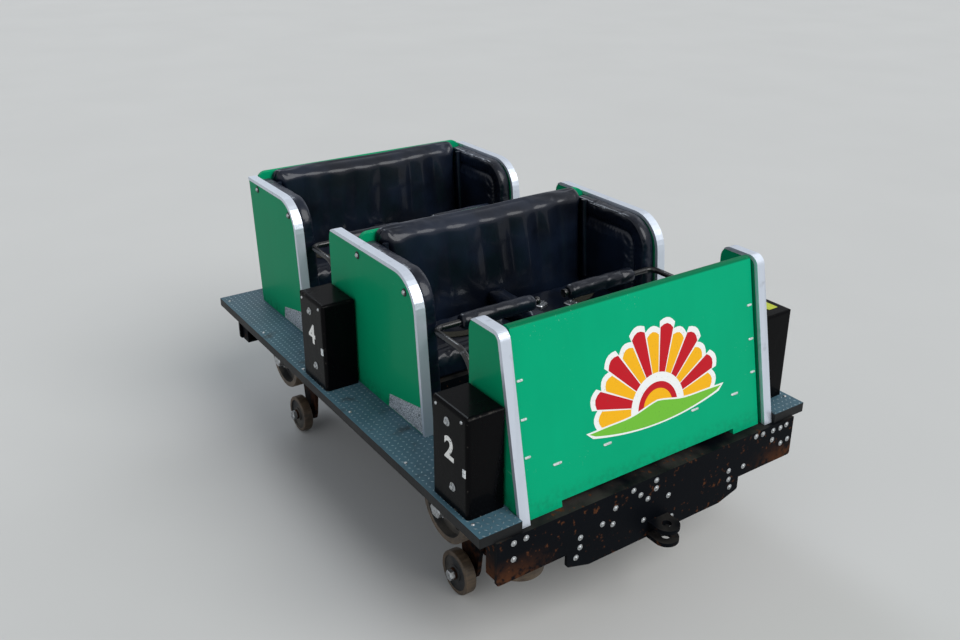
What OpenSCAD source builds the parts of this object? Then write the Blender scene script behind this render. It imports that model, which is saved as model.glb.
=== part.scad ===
// Front car of a two-bench wooden roller coaster train.
// +X is the way the car runs, +Y the riders' left, +Z up, in millimetres.
// It stands on its upstop wheels; the origin is on the floor under the middle of its length.

/* [Body] */
// Width over the outer faces of the side boards
body_w = 1090; // [1040:5:1140]
// Thickness of the side boards and wings
board_t = 32; // [26:1:36]
// Height of the side boards above the deck
side_h = 555; // [520:5:600]
// Lean of the front edge of a bench side, in degrees
side_rake = 5; // [2:0.5:8]
// Radius of the upper front corner of a bench side
side_front_r = 135; // [90:5:160]
// Radius of the upper rear corner of the sides and wings
side_rear_r = 45; // [25:5:60]
// Distance from the nose to the front edge of the first bench side
nose_l = 545; // [530:5:600]
// Distance from one bench to the next
bench_pitch = 935; // [900:5:980]
// Length of a bench side from its front edge to the back of its seat board
bench_l = 460; // [440:5:480]
// Length of the front bench side behind its seat board
side_reach = 205; // [195:5:230]

/* [Nose] */
// Length of a wing along the deck
wing_l = 275; // [260:5:320]
// Lean of the front panel and of the wings' front edges, in degrees
nose_rake = 11.2; // [8:0.2:13]
// Radius of the upper front corner of a wing
wing_front_r = 36; // [24:2:50]
// Thickness of the front panel
panel_t = 36; // [28:1:42]
// Set-back of the front panel behind the wings' front edges
panel_set = 18; // [10:1:24]
// Gap between the front panel and each wing
panel_gap = 13; // [8:1:20]
// Height of the front panel's top above the sides' top
panel_rise = 1; // [0:1:8]
// Width of each foot of the front panel
foot_w = 125; // [90:5:160]
// Height of the feet under the panel's lower edge
foot_h = 20; // [12:1:28]

/* [Edging] */
// Thickness of the bright edging
trim_t = 2; // [1.5:0.25:3]
// Depth of the edging's lips on the faces of a board
trim_lip = 12; // [8:1:18]

/* [Deck] */
// Width of a running board beside the body
running_w = 155; // [145:5:180]
// Thickness of the deck
deck_t = 36; // [30:1:40]
// Least length of the deck behind the last seat board
deck_tail = 125; // [100:5:160]
// Least length of the deck behind the rear axle
axle_tail = 365; // [340:5:400]
// Distance of the deck's front edge ahead of the nose
deck_lip = 12; // [8:1:16]

/* [Seats] */
// Height of the seat cushions' top above the deck
seat_h = 230; // [210:5:250]
// Thickness of a seat cushion
seat_pad_t = 90; // [70:5:110]
// Thickness of a back cushion
back_pad_t = 80; // [60:5:90]
// Thickness of a side cushion
side_pad_t = 52; // [36:2:60]
// Set-back of the seat riser behind the side cushions' front edges
riser_set = 40; // [30:2:60]
// Set-back of a side cushion from the edge of its side board
side_pad_set = 34; // [26:2:44]
// Thickness of the seat and back boards
seat_board_t = 20; // [16:1:24]
// Lean of the seat backs, in degrees
back_rake = 4.5; // [2:0.5:7]
// Height of a back board's top over the side boards
back_rise = 20; // [10:2:30]
// Radius of a back board's upper corners
back_corner_r = 46; // [30:2:60]
// Width of the pad between the two riders
divider_w = 70; // [50:5:90]
// Height of that pad above the seat cushions
divider_h = 55; // [35:5:75]

/* [Lap bars] */
// Length of a lap bar box
box_l = 195; // [185:5:205]
// Width of a lap bar box
box_w = 135; // [120:5:140]
// Height of a lap bar box
box_h = 340; // [320:5:360]
// Radius of a lap bar box's edges
box_r = 14; // [8:1:20]
// Distance of a lap bar's pivot behind its box's front face
pivot_set = 80; // [70:2:90]
// Height of a lap bar's pivot above the deck
pivot_h = 76; // [68:2:84]
// Radius of a lap bar's tube
bar_r = 11; // [9:0.5:13]
// Radius of a lap bar's pivot shaft
shaft_r = 14; // [12:0.5:16]
// Reach of a lap bar behind its pivot
bar_reach = 422; // [410:2:430]
// Distance of a lap bar's upright behind its pivot
bar_upright = 190; // [180:2:200]
// Height of a lap bar's cross tube above the deck
bar_cross_h = 370; // [360:2:380]
// Radius of a lap bar's foam sleeve
pad_r = 32; // [26:1:36]
// Length of a lap bar's foam sleeve
pad_l = 310; // [280:5:320]

/* [Frame] */
// Height of the frame's rails and beams
frame_h = 114; // [100:2:124]
// Distance from the middle of the car to a frame rail's outer face
rail_y = 420; // [410:2:430]
// Width of a frame rail's flanges
rail_w = 56; // [44:2:70]
// Plate thickness of the frame
plate_t = 10; // [8:1:12]
// Width of a cross member
cross_w = 70; // [56:2:80]
// Distance of the first cross member behind the front axle
cross_first = 240; // [220:5:260]
// Distance of the middle cross member behind the front axle
cross_middle = 760; // [720:10:800]
// Distance of the last cross member behind the rear axle
cross_last = 110; // [104:2:120]
// Radius of the hollow under an outrigger
outrigger_r = 60; // [40:5:80]
// Radius of the beams' and outriggers' lower corners
beam_r = 10; // [6:1:14]
// Distance of the beams' ends inside the deck's edges
beam_set = 55; // [40:5:80]
// Height of the front and rear beams' faces
beam_h = 154; // [140:2:166]
// Thickness of the front and rear beams' face plates
face_t = 12; // [10:1:14]
// Depth of the beams' flanges behind their face plates
flange_w = 62; // [54:1:66]
// Width of the deeper middle of the front beam
deep_w = 760; // [640:10:820]
// Depth of that middle below the rest of the beam
deep_h = 74; // [64:2:84]
// Distance of the front beam's face ahead of the deck's edge
front_out = 8; // [4:1:12]
// Distance of the rear beam's face inside the deck's edge
rear_in = 50; // [40:2:60]
// Distance from a deck's rear edge to the next car's nose
car_gap = 251; // [240:1:290]
// Distance of the coupling pin ahead of the nose
pin_reach = 62; // [58:1:70]
// Radius of the coupling pin's hole
pin_r = 16; // [12:0.5:18]
// Outer radius of the coupling eyes
eye_r = 44; // [38:1:48]
// Thickness of the drawbar
drawbar_t = 30; // [24:1:34]
// Width of the drawbar
drawbar_w = 68; // [60:2:76]
// Distance of the drawbar's middle below the beams
drawbar_gap = 44; // [40:1:50]
// Width of the blocks that the drawbar hangs from
hanger_w = 120; // [100:5:140]
// Thickness of the jaw's ears
jaw_t = 14; // [12:1:16]

/* [Dogs] */
// Length of the chain dog behind its pin
chain_dog_l = 150; // [130:5:165]
// Length of the rollback dog behind its pin
rollback_dog_l = 170; // [150:5:180]
// Width of the dogs
dog_w = 24; // [20:1:28]
// Radius of the dogs' pins
dog_pin_r = 10; // [8:0.5:12]
// Half length of a dog's hanger along the car
hanger_l = 34; // [32:1:40]
// Distance of the dogs' pins below the frame
dog_gap = 46; // [42:1:52]
// Length of a dog's pin outside its hanger's ears
dog_pin_out = 4; // [3:1:8]

/* [Running gear] */
// Distance of the front axle behind the nose
axle_set = 400; // [390:5:420]
// Distance between the axles
wheelbase = 1300; // [1270:5:1320]
// Gap between a stub axle and the frame's lower edge
axle_gap = 11; // [8:1:14]
// Radius of a road wheel
road_r = 130; // [120:1:134]
// Width of a road wheel's tread
road_w = 75; // [60:1:80]
// Distance from the middle of the car to the middle of a road wheel
road_y = 530; // [525:1:540]
// Thickness of a road wheel's hub round its axle
road_hub_t = 22; // [18:1:26]
// Thickness of a road wheel's tread
tread_t = 24; // [18:1:28]
// Thickness of a road wheel's web
web_t = 16; // [12:1:20]
// Radius of the holes in a road wheel's web
web_hole_r = 17; // [12:1:18]
// Bevel at the edges of all treads
tread_edge = 3; // [2:0.5:4]
// Radius of a guide wheel
guide_r = 85; // [76:1:88]
// Width of a guide wheel's tread
guide_w = 50; // [40:1:54]
// Distance from the middle of the car to the rail's inner face
rail_face_y = 480; // [476:1:484]
// Radius of an upstop wheel
upstop_r = 80; // [72:1:84]
// Width of an upstop wheel
upstop_w = 40; // [32:1:42]
// Thickness of the rail's lip between road and upstop wheels
rail_lip = 75; // [70:1:84]
// Thickness of a small wheel's hub round its pin
small_hub_t = 16; // [12:1:20]
// Thickness of a small wheel's tread
small_tread_t = 16; // [12:1:20]
// Depth of the hollow in a small wheel's sides
web_set = 7; // [5:0.5:9]
// Running gap between the lip and the upstop wheels
upstop_gap = 5; // [3:1:8]
// Distance of the guide wheels' pins from the axle
guide_set = 190; // [186:1:196]
// Thickness of the wheel brackets
bracket_t = 16; // [12:1:18]
// Distance of a wheel bracket outside the frame's rail
bracket_set = 26; // [24:1:28]
// Width of a wheel bracket at the axle
bracket_w = 160; // [140:5:170]
// Height of a wheel bracket above its axle
bracket_rise = 50; // [44:1:54]
// Height of the bracket's full width below its axle
bracket_fall = 60; // [50:1:70]
// Height of the bracket's foot under the upstop wheel's pin
foot_drop = 34; // [28:1:40]
// Thickness of the fork plates over and under a guide wheel
fork_t = 12; // [10:1:14]
// Radius of a fork's ends
fork_r = 34; // [30:1:36]
// Width of the fork's arm at the wheel bracket
arm_w = 60; // [50:2:70]
// Distance from a rail's top down to the guide wheels' top
guide_low = 10; // [8:1:14]
// Gap between a rail's lip and an upstop wheel's inner side
upstop_in = 7; // [5:1:10]
// Gap between a guide wheel and its fork
fork_gap = 4; // [3:0.5:6]
// Thickness and height of the collars beside a wheel
collar = 7; // [5:0.5:9]
// Radius of a road wheel's stub axle
stub_r = 24; // [20:1:26]
// Radius of a guide or upstop wheel's pin
pin_small_r = 14; // [11:0.5:16]

/* [Hidden] */
$fn = 64;

// Sides of the car and its two rows
LEFT = 1;
RIGHT = -1;
FRONT = 0;
REAR = 1;

// Colours
green = "#10a67c";
bright = "#d9dcdf";
black = "#1b1c20";
vinyl = "#26282e";
steel = "#34363a";
tread = "#3f5a55";
worn = "#8b8d90";

// Clearances: round parts on their pins, pieces that stand next to each other, wheels beside their collars
fit = 0.3;
seat_gap = 0.3;
side_gap = 1;

// How far a piece runs into what it is welded to
weld = 0.5;

// Heights below the deck's top, where the rail the car runs on would be
axle_drop = deck_t + frame_h + stub_r + axle_gap;
rail_drop = axle_drop + road_r;
upstop_drop = rail_drop + rail_lip + upstop_gap + upstop_r;
deck_z = upstop_drop + upstop_r;

// Lengths from the nose, which is the foot of the wings' front edges
panel_h = side_h + panel_rise;
deck_w = body_w + 2 * running_w;
beam_w = deck_w - 2 * beam_set;
deck_l = max(nose_l + bench_pitch + bench_l + deck_tail, axle_set + wheelbase + axle_tail);
car_pitch = deck_l + car_gap;
nose_x = car_pitch / 2 - pin_reach;
panel_rear = panel_set + panel_t / cos(nose_rake) + 8;
inner_y = body_w / 2 - board_t;
outer_y = body_w / 2;

// Points of a round corner of radius r at p, between neighbours a and b
arc_step = 9;
function unit(v) = v / norm(v);
function corner(p, a, b, r) =
  let (
    u = unit(a - p), v = unit(b - p), half = acos(u * v) / 2,
    c = p + unit(u + v) * r / sin(half),
    s = p + u * r / tan(half) - c, e = p + v * r / tan(half) - c,
    from = atan2(s.y, s.x), turn = (atan2(e.y, e.x) - from + 540) % 360 - 180,
    n = max(2, ceil(abs(turn) / arc_step))
  ) [for (i = [0:n]) c + r * [cos(from + turn * i / n), sin(from + turn * i / n)]];

// Outline of corners given as [x, y, radius], where 0 is a sharp corner
function xy(q) = [q.x, q.y];
function rounded(t) = [
  for (i = [0:len(t) - 1])
    let (q = t[i], a = t[(i + len(t) - 1) % len(t)], b = t[(i + 1) % len(t)])
      each (q.z > 0 ? corner(xy(q), xy(a), xy(b), q.z) : [xy(q)])
];

// Moves what is drawn from the nose, at the deck's top, to its place in the car
module from_nose() { translate([nose_x, 0, deck_z]) children(); }

// Extrudes an outline drawn in x and z, between two distances to the side
module in_xz(from, to) { translate([0, to, 0]) rotate([90, 0, 0]) linear_extrude(to - from) children(); }

// Extrudes an outline drawn in y and z, between two places along the car
module in_yz(from, to) {
  translate([from, 0, 0]) rotate([90, 0, 90]) linear_extrude(to - from) children();
}

// Draws on the left as it is, and on the right as a mirror image
module on(side) {
  if (side == LEFT) children();
  else mirror([0, 1, 0]) children();
}

// Moves a front row's piece to its row
module in_row(row) { translate([-row * bench_pitch, 0, 0]) children(); }

// Box with its rear, inner, lower corner at the origin and round edges
module soft_box(size, r) {
  intersection() {
    linear_extrude(size.z)
      polygon(rounded([[0, 0, r], [size.x, 0, r], [size.x, size.y, r], [0, size.y, r]]));
    in_xz(0, size.y) polygon(rounded([[0, 0, 0], [size.x, 0, 0], [size.x, size.z, r], [0, size.z, r]]));
    in_yz(0, size.x) polygon(rounded([[0, 0, 0], [size.y, 0, 0], [size.y, size.z, r], [0, size.z, r]]));
  }
}

// Straight length of a round tube, and its bend by a right angle at p, from towards a to towards b
module tube_run(a, b, r) {
  d = b - a;
  translate(a) rotate([0, acos(d.z / norm(d)), atan2(d.y, d.x)]) cylinder(h = norm(d), r = r);
}
module tube_bend(p, a, b, bend, r) {
  u = unit(a - p);
  v = unit(b - p);
  c = p + (u + v) * bend;
  n = cross(v, u);
  multmatrix([[-v.x, -u.x, n.x, c.x], [-v.y, -u.y, n.y, c.y], [-v.z, -u.z, n.z, c.z], [0, 0, 0, 1]])
    rotate_extrude(angle = 90) translate([bend, 0]) circle(r = r);
}

// Tube through points given as [x, y, z], square to each other, with a bend radius at each inner one
module bent_tube(points, bends, r) {
  last = len(points) - 1;
  for (i = [0:last - 1]) {
    d = unit(points[i + 1] - points[i]);
    tube_run(points[i] + d * bends[i], points[i + 1] - d * bends[i + 1], r);
  }
  for (i = [1:last - 1]) tube_bend(points[i], points[i - 1], points[i + 1], bends[i], r);
}

// Outline of a wing, from the nose; inset moves its front and top edges in, over lets the rest run out
function wing_outline(inset = 0, over = 0) =
  let (
    slope = tan(nose_rake), shift = inset / cos(nose_rake),
    foot = -deck_t - over, top = side_h - inset,
    rear = -wing_l - over, deck_edge = -panel_rear
  ) rounded(concat(
    [
      [-(foot + deck_t) * slope - shift, foot, 0],
      [-(top + deck_t) * slope - shift, top, wing_front_r - inset]
    ],
    over > 0 ? [[rear, top, 0], [rear, foot, 0]]
      : [[rear, top, side_rear_r], [rear, 0, 0], [deck_edge, 0, 0], [deck_edge, foot, 0]]
  ));

// Front and rear ends of a bench side at the deck
function side_front(row) = -nose_l - row * bench_pitch;
function board_rear(row) = side_front(row) - bench_l;

// Outline of a bench side, in the same way
function side_outline(row, inset = 0, over = 0) =
  let (
    slope = tan(side_rake), shift = inset / cos(side_rake), top = side_h - inset,
    rear = board_rear(row) - (row == FRONT ? side_reach : 0),
    rear_top = rear - (row == FRONT ? 0 : top * tan(back_rake)),
    front = side_front(row) - shift
  ) rounded(concat(
    [[front + over * slope, -over, 0], [front - top * slope, top, side_front_r - inset]],
    over > 0 ? [[rear_top - over, top, 0], [rear_top - over, -over, 0]]
      : [[rear_top, top, row == FRONT ? side_rear_r : 0], [rear, 0, 0]]
  ));

// Lap bar box's front face and a lap bar's pivot, in the front row
box_front = -(wing_l - 5 - box_l);
pivot_x = box_front - pivot_set;

// Hole through a board for the pivot shafts
module shaft_hole(row) {
  in_row(row) translate([pivot_x, inner_y - 1, pivot_h]) rotate([-90, 0, 0])
    cylinder(h = board_t + 2, r = shaft_r + 3);
}

module wing(side) {
  color(green) from_nose() on(side) difference() {
    in_xz(inner_y, outer_y) polygon(wing_outline());
    shaft_hole(FRONT);
  }
}

module bench_side(row, side) {
  color(green) from_nose() on(side) difference() {
    in_xz(inner_y, outer_y) polygon(side_outline(row));
    if (row == FRONT) shaft_hole(REAR);
  }
}

// Channel round the front and top edges of a board
module edging() {
  for (side = [LEFT, RIGHT]) on(side) {
    difference() {
      in_xz(inner_y - trim_t, outer_y + trim_t) polygon(wing_outline(inset = -trim_t));
      in_xz(inner_y - 2 * trim_t, outer_y + 2 * trim_t) polygon(wing_outline(inset = trim_lip, over = 30));
      in_xz(inner_y, outer_y) polygon(wing_outline());
    }
    for (row = [FRONT, REAR]) difference() {
      in_xz(inner_y - trim_t, outer_y + trim_t) polygon(side_outline(row, inset = -trim_t));
      in_xz(inner_y - 2 * trim_t, outer_y + 2 * trim_t)
        polygon(side_outline(row, inset = trim_lip, over = 30));
      in_xz(inner_y, outer_y) polygon(side_outline(row));
    }
  }
}
module edge_trims() { color(bright) from_nose() edging(); }

// Leaning front panel with a round top, on two feet
module front_panel() {
  half_w = inner_y - panel_gap;
  slope = tan(nose_rake);
  foot_z = -deck_t;
  low_z = foot_z + foot_h;
  t_x = panel_t / cos(nose_rake);
  front = function(z) -panel_set - (z + deck_t) * slope;
  color(green) from_nose() {
    difference() {
      in_xz(-half_w, half_w) polygon(rounded([
        [front(foot_z), foot_z, 0],
        [front(panel_h), panel_h, panel_t * 0.42],
        [front(panel_h) - t_x, panel_h, panel_t * 0.42],
        [front(foot_z) - t_x, foot_z, 0]
      ]));
      in_xz(foot_w - half_w, half_w - foot_w)
        polygon([[0, foot_z - 1], [0, low_z], [-2 * panel_rear, low_z], [-2 * panel_rear, foot_z - 1]]);
    }
  }
}

// Deck with running boards, notched at the front for the wings and the panel
module floor_deck() {
  half = deck_w / 2;
  notch_y = outer_y + trim_t + side_gap;
  color(tread) from_nose() translate([0, 0, -deck_t]) linear_extrude(deck_t) polygon([
    [deck_lip, notch_y], [deck_lip, half], [-deck_l, half], [-deck_l, -half],
    [deck_lip, -half], [deck_lip, -notch_y], [-panel_rear, -notch_y], [-panel_rear, notch_y]
  ]);
}

// Seat riser and seat board between the side cushions, and the back board from side to side
module bench_frame(row) {
  t = seat_board_t;
  slope = tan(back_rake);
  top = side_h + back_rise;
  half_w = inner_y - weld;
  seat_half_w = inner_y - side_pad_t - seat_gap;
  back = board_rear(row);
  riser = side_front(row) - side_pad_set - riser_set;
  under = seat_h - seat_pad_t;
  color(green) from_nose() {
    in_xz(-seat_half_w, seat_half_w) polygon([
      [riser, 0], [riser, under], [back + t / 2 - under * slope, under],
      [back + t / 2 - (under - t) * slope, under - t], [riser - t, under - t], [riser - t, 0]
    ]);
    intersection() {
      in_xz(-half_w, half_w) polygon(rounded([
        [back + t, 0, 0], [back + t - top * slope, top, t * 0.4],
        [back - top * slope, top, t * 0.4], [back, 0, 0]
      ]));
      in_yz(back - 2 * side_reach, back + side_reach) polygon(rounded([
        [-half_w, 0, 0], [half_w, 0, 0], [half_w, top, back_corner_r], [-half_w, top, back_corner_r]
      ]));
    }
  }
}

// Face of a back cushion at a height above the deck
function back_face(row, z) = board_rear(row) + seat_board_t + back_pad_t - z * tan(back_rake);
function back_board_face(row, z) = board_rear(row) + seat_board_t - z * tan(back_rake);

// Padded seat with the pad between the riders
module seat_cushion(row) {
  half_w = inner_y - side_pad_t - 2;
  low = seat_h - seat_pad_t + seat_gap;
  front = side_front(row) - side_pad_set - 24;
  rear = back_face(row, low) + 1;
  color(vinyl) from_nose() {
    in_xz(-half_w, half_w) polygon(rounded([
      [front, low, 12], [front, seat_h, 30],
      [rear - (seat_h - low) * tan(back_rake), seat_h, 0], [rear, low, 0]
    ]));
    in_xz(-divider_w / 2, divider_w / 2) polygon(rounded([
      [front - 20, seat_h - 30, 0], [front - 20, seat_h + divider_h, 40],
      [back_face(row, seat_h + divider_h) + 1, seat_h + divider_h, 0],
      [back_face(row, seat_h - 30) + 1, seat_h - 30, 0]
    ]));
  }
}

module back_cushion(row) {
  half_w = inner_y - side_pad_t - 2;
  low = seat_h - seat_pad_t + seat_gap;
  top = side_h + back_rise + (row == FRONT ? 8 : -10);
  color(vinyl) from_nose() in_xz(-half_w, half_w) polygon(rounded([
    [back_face(row, low), low, 0], [back_face(row, top), top, 34],
    [back_board_face(row, top) + seat_gap, top, 14], [back_board_face(row, low) + seat_gap, low, 0]
  ]));
}

// Padding inside both sides of a bench, from the deck up, following their front and top edges
module side_cushions(row) {
  low = seat_gap;
  top = side_h - side_pad_set + 10;
  front = side_front(row) - side_pad_set;
  slope = tan(side_rake);
  y_out = inner_y - trim_t - seat_gap;
  color(vinyl) from_nose() for (side = [LEFT, RIGHT]) on(side)
    in_xz(inner_y - side_pad_t, y_out) polygon(rounded([
      [front - low * slope, low, 0], [front - top * slope, top, side_front_r - side_pad_set],
      [back_board_face(row, top) + seat_gap, top, 20], [back_board_face(row, low) + seat_gap, low, 0]
    ]));
}

// Closed housing of a lap bar's lock, with the bearing of its shaft
module lap_bar_box(row, side) {
  color(black) from_nose() on(side) in_row(row) difference() {
    translate([box_front - box_l, outer_y + trim_t + side_gap, 0]) soft_box([box_l, box_w, box_h], box_r);
    translate([pivot_x, outer_y, pivot_h]) rotate([-90, 0, 0]) cylinder(h = 66, r = shaft_r + fit);
  }
}

// Lap bar: shaft, swept arm and cross tube, at rest across the riders' laps
arm_y = inner_y - 28;
free_y = 62;
bar_points = [
  [pivot_x, inner_y - 4, pivot_h], [pivot_x, arm_y, pivot_h],
  [pivot_x - bar_upright, arm_y, pivot_h], [pivot_x - bar_upright, arm_y, bar_cross_h],
  [pivot_x - bar_reach, arm_y, bar_cross_h], [pivot_x - bar_reach, free_y, bar_cross_h]
];
bar_end = bar_points[5];
module lap_bar(row, side) {
  color(bright) from_nose() on(side) in_row(row) {
    translate([pivot_x, inner_y - 4, pivot_h]) rotate([-90, 0, 0]) cylinder(h = board_t + 64, r = shaft_r);
    bent_tube(bar_points, [0, 22, 88, 88, 34, 0], bar_r);
    translate(bar_end + [0, 6, 0]) rotate([90, 0, 0]) cylinder(h = 12, r = bar_r + 4);
  }
}

// Foam sleeve on the cross tube
module lap_pad(row, side) {
  color(vinyl) from_nose() on(side) in_row(row) difference() {
    translate(bar_end + [0, 12, 0]) rotate([-90, 0, 0]) cylinder(h = pad_l, r = pad_r);
    translate(bar_end + [0, 11, 0]) rotate([-90, 0, 0]) cylinder(h = pad_l + 2, r = bar_r + fit);
  }
}

// Channel section of a frame rail, open to the middle of the car
function rail_section() = [
  [rail_y, -deck_t], [rail_y, -deck_t - frame_h], [rail_y - rail_w, -deck_t - frame_h],
  [rail_y - rail_w, -deck_t - frame_h + plate_t], [rail_y - plate_t, -deck_t - frame_h + plate_t],
  [rail_y - plate_t, -deck_t - plate_t], [rail_y - rail_w, -deck_t - plate_t], [rail_y - rail_w, -deck_t]
];

// Places of the frame's cross members and of the dogs, behind the nose
cross_set = [axle_set + cross_first, axle_set + cross_middle, axle_set + wheelbase + cross_last];
dog_set = [cross_set[0], cross_set[1]];

// Faces of the two beams, their lower edges, and the ends of the rails between them
front_face_x = deck_lip + front_out;
rear_face_x = rear_in - deck_l;
beam_low = -deck_t - beam_h;
beam_reach = face_t + flange_w;

// Depth of the drawbar's middle and of the dogs' pins below the deck's top
coupler_drop = deck_t + beam_h + drawbar_gap;
dog_drop = deck_t + frame_h + dog_gap;

// Rails, cross members, and outriggers under the running boards
module main_frame() {
  low = -deck_t - frame_h;
  outer = beam_w / 2;
  color(steel) from_nose() {
    for (side = [LEFT, RIGHT]) on(side) {
      in_yz(rear_face_x + beam_reach + weld, front_face_x - beam_reach - weld) polygon(rail_section());
      for (set = dog_set) in_yz(-set - plate_t / 2, -set + plate_t / 2) polygon(rounded([
        [rail_y - weld, -deck_t, 0], [outer, -deck_t, 0], [outer, -deck_t - 0.24 * frame_h, beam_r],
        [rail_y + 0.2 * frame_h, low + 0.18 * frame_h, outrigger_r], [rail_y - weld, low + plate_t, 0]
      ]));
    }
    for (set = cross_set) difference() {
      translate([-set - cross_w / 2, -rail_y + weld, low]) cube([cross_w, 2 * (rail_y - weld), frame_h]);
      translate([-set - cross_w / 2 + plate_t, -rail_y + plate_t, low + plate_t])
        cube([cross_w, 2 * (rail_y - plate_t), frame_h - 2 * plate_t]);
    }
  }
}

// Flanges and ribs of a beam behind its face plate, drawn from the plate's rear face
module beam_flanges(ribs) {
  half = beam_w / 2 - face_t;
  for (z = [-deck_t - plate_t, beam_low]) translate([-flange_w, -half, z])
    cube([flange_w + weld, 2 * half, plate_t]);
  for (side = [LEFT, RIGHT]) on(side) for (y = ribs)
    translate([-flange_w, y - plate_t, beam_low]) cube([flange_w + weld, plate_t, beam_h]);
}

// Front beam: face plate with a deeper middle, flanges, and the jaw for a coupling
module front_beam() {
  deep = beam_low - deep_h;
  half = beam_w / 2;
  dy = deep_w / 2;
  step = 0.35 * deep_h;
  chamfer = 1.2 * deep_h;
  jaw_open = drawbar_t + 4;
  color(steel) from_nose() {
    in_yz(front_face_x - face_t, front_face_x) polygon(rounded([
      [-half, -deck_t, 0], [-half, beam_low, beam_r],
      [-dy, beam_low, 0], [-dy, deep + step, beam_r], [chamfer - dy, deep, beam_r],
      [dy - chamfer, deep, beam_r], [dy, deep + step, beam_r], [dy, beam_low, 0],
      [half, beam_low, beam_r], [half, -deck_t, 0]
    ]));
    translate([front_face_x - face_t, 0, 0]) beam_flanges([dy, half - face_t]);
    for (z = [jaw_open / 2, -jaw_open / 2 - jaw_t]) translate([0, 0, z - coupler_drop]) difference() {
      union() {
        translate([front_face_x - weld, -eye_r, 0])
          cube([pin_reach - front_face_x + weld, 2 * eye_r, jaw_t]);
        translate([pin_reach, 0, 0]) cylinder(h = jaw_t, r = eye_r);
      }
      translate([pin_reach, 0, -1]) cylinder(h = jaw_t + 2, r = pin_r);
    }
  }
}

// Rear beam: face plate and flanges, open to the front
module rear_beam() {
  half = beam_w / 2;
  color(steel) from_nose() {
    in_yz(rear_face_x, rear_face_x + face_t) polygon(rounded([
      [-half, -deck_t, 0], [-half, beam_low, beam_r], [half, beam_low, beam_r], [half, -deck_t, 0]
    ]));
    translate([rear_face_x + face_t, 0, 0]) mirror([1, 0, 0]) beam_flanges([rail_y, half - face_t]);
  }
}

// Drawbar to the next car, hung from the frame's last cross member and its rear beam
module rear_coupler() {
  eye_x = pin_reach - car_pitch;
  top = drawbar_t / 2 - coupler_drop;
  anchor_x = -cross_set[2] - cross_w / 2;
  color(steel) from_nose() difference() {
    union() {
      translate([eye_x, -drawbar_w / 2, top - drawbar_t])
        cube([anchor_x + cross_w - eye_x, drawbar_w, drawbar_t]);
      translate([eye_x, 0, top - drawbar_t]) cylinder(h = drawbar_t, r = eye_r);
      for (seat = [[anchor_x, frame_h, cross_w], [rear_face_x, beam_h, beam_reach]])
        translate([seat[0], -hanger_w / 2, top - weld])
          cube([seat[2], hanger_w, weld - deck_t - seat[1] - seat_gap - top]);
    }
    translate([eye_x, 0, top - drawbar_t - 1]) cylinder(h = drawbar_t + 2, r = pin_r);
  }
}

// Hangers of the dogs under their cross members: base plate, two ears and a pin
module dog_hangers() {
  ear_y = dog_w / 2 + side_gap;
  ear_r = 1.2 * dog_pin_r;
  toe_l = 2 * dog_pin_r;
  toe = -dog_drop - 1.8 * dog_pin_r;
  pin_y = ear_y + plate_t + dog_pin_out;
  top = -deck_t - frame_h - seat_gap;
  color(steel) from_nose() for (set = dog_set) translate([-set, 0, 0]) {
    translate([-hanger_l, -ear_y - 2 * plate_t, top - plate_t])
      cube([2 * hanger_l, 2 * ear_y + 4 * plate_t, plate_t]);
    for (side = [LEFT, RIGHT]) on(side) in_xz(ear_y, ear_y + plate_t) polygon(rounded([
      [-hanger_l, top - weld, 0], [-hanger_l, -dog_drop, ear_r], [-toe_l, toe, ear_r],
      [toe_l, toe, ear_r], [hanger_l, -dog_drop, ear_r], [hanger_l, top - weld, 0]
    ]));
    translate([0, pin_y, -dog_drop]) rotate([90, 0, 0]) cylinder(h = 2 * pin_y, r = dog_pin_r);
  }
}

// Places of the wheel brackets and of the small wheels
bracket_y = rail_y + bracket_set;
bracket_out = bracket_y + bracket_t;
guide_y = rail_face_y - guide_r;
guide_drop = rail_drop + guide_low + guide_w / 2;
upstop_y = rail_face_y + upstop_in + upstop_w / 2;

// Bracket that carries a corner's upstop and guide wheels; end is 1 at the front axle and -1 at the rear
module wheel_bracket(end) {
  x = end * guide_set;
  w = bracket_w / 2;
  foot_w = upstop_r * 0.55;
  toe_w = foot_w - 0.4 * foot_drop;
  top = -axle_drop + bracket_rise;
  shoulder = -axle_drop - bracket_fall;
  toe = -upstop_drop - foot_drop;
  pin_h = guide_w + 2 * (fork_gap + 1.5 * fork_t);
  in_xz(bracket_y, bracket_out) polygon(rounded([
    [-w, top, bracket_t], [-w, shoulder, bracket_t], [-foot_w, -upstop_drop, 0.8 * foot_drop],
    [-toe_w, toe, 0.6 * foot_drop], [toe_w, toe, 0.6 * foot_drop], [foot_w, -upstop_drop, 0.8 * foot_drop],
    [w, shoulder, bracket_t], [w, top, bracket_t]
  ]));
  // fork above and below the guide wheel
  for (z = [guide_w / 2 + fork_gap, -guide_w / 2 - fork_gap - fork_t]) translate([0, 0, z - guide_drop]) {
    translate([x, guide_y, 0]) cylinder(h = fork_t, r = fork_r);
    translate([min(0, x), guide_y - fork_r, 0]) cube([guide_set, 2 * fork_r, fork_t]);
    translate([end * bracket_w / 4 - arm_w / 2, guide_y - fork_r, 0])
      cube([arm_w, bracket_y + weld - guide_y + fork_r, fork_t]);
  }
  translate([x, guide_y, -guide_drop - pin_h / 2]) cylinder(h = pin_h, r = pin_small_r);
}

// Pin through a wheel of width w, with a collar on each side; drawn outwards from the bracket, hub at y
module stub(y, w, r) {
  translate([0, bracket_out - weld, 0]) rotate([-90, 0, 0]) {
    cylinder(h = y + w / 2 + 2 * collar - bracket_out + weld, r = r);
    cylinder(h = y - w / 2 - side_gap - bracket_out + weld, r = r + collar);
    translate([0, 0, y + w / 2 + side_gap - bracket_out + weld]) cylinder(h = collar, r = r + collar);
  }
}

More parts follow.
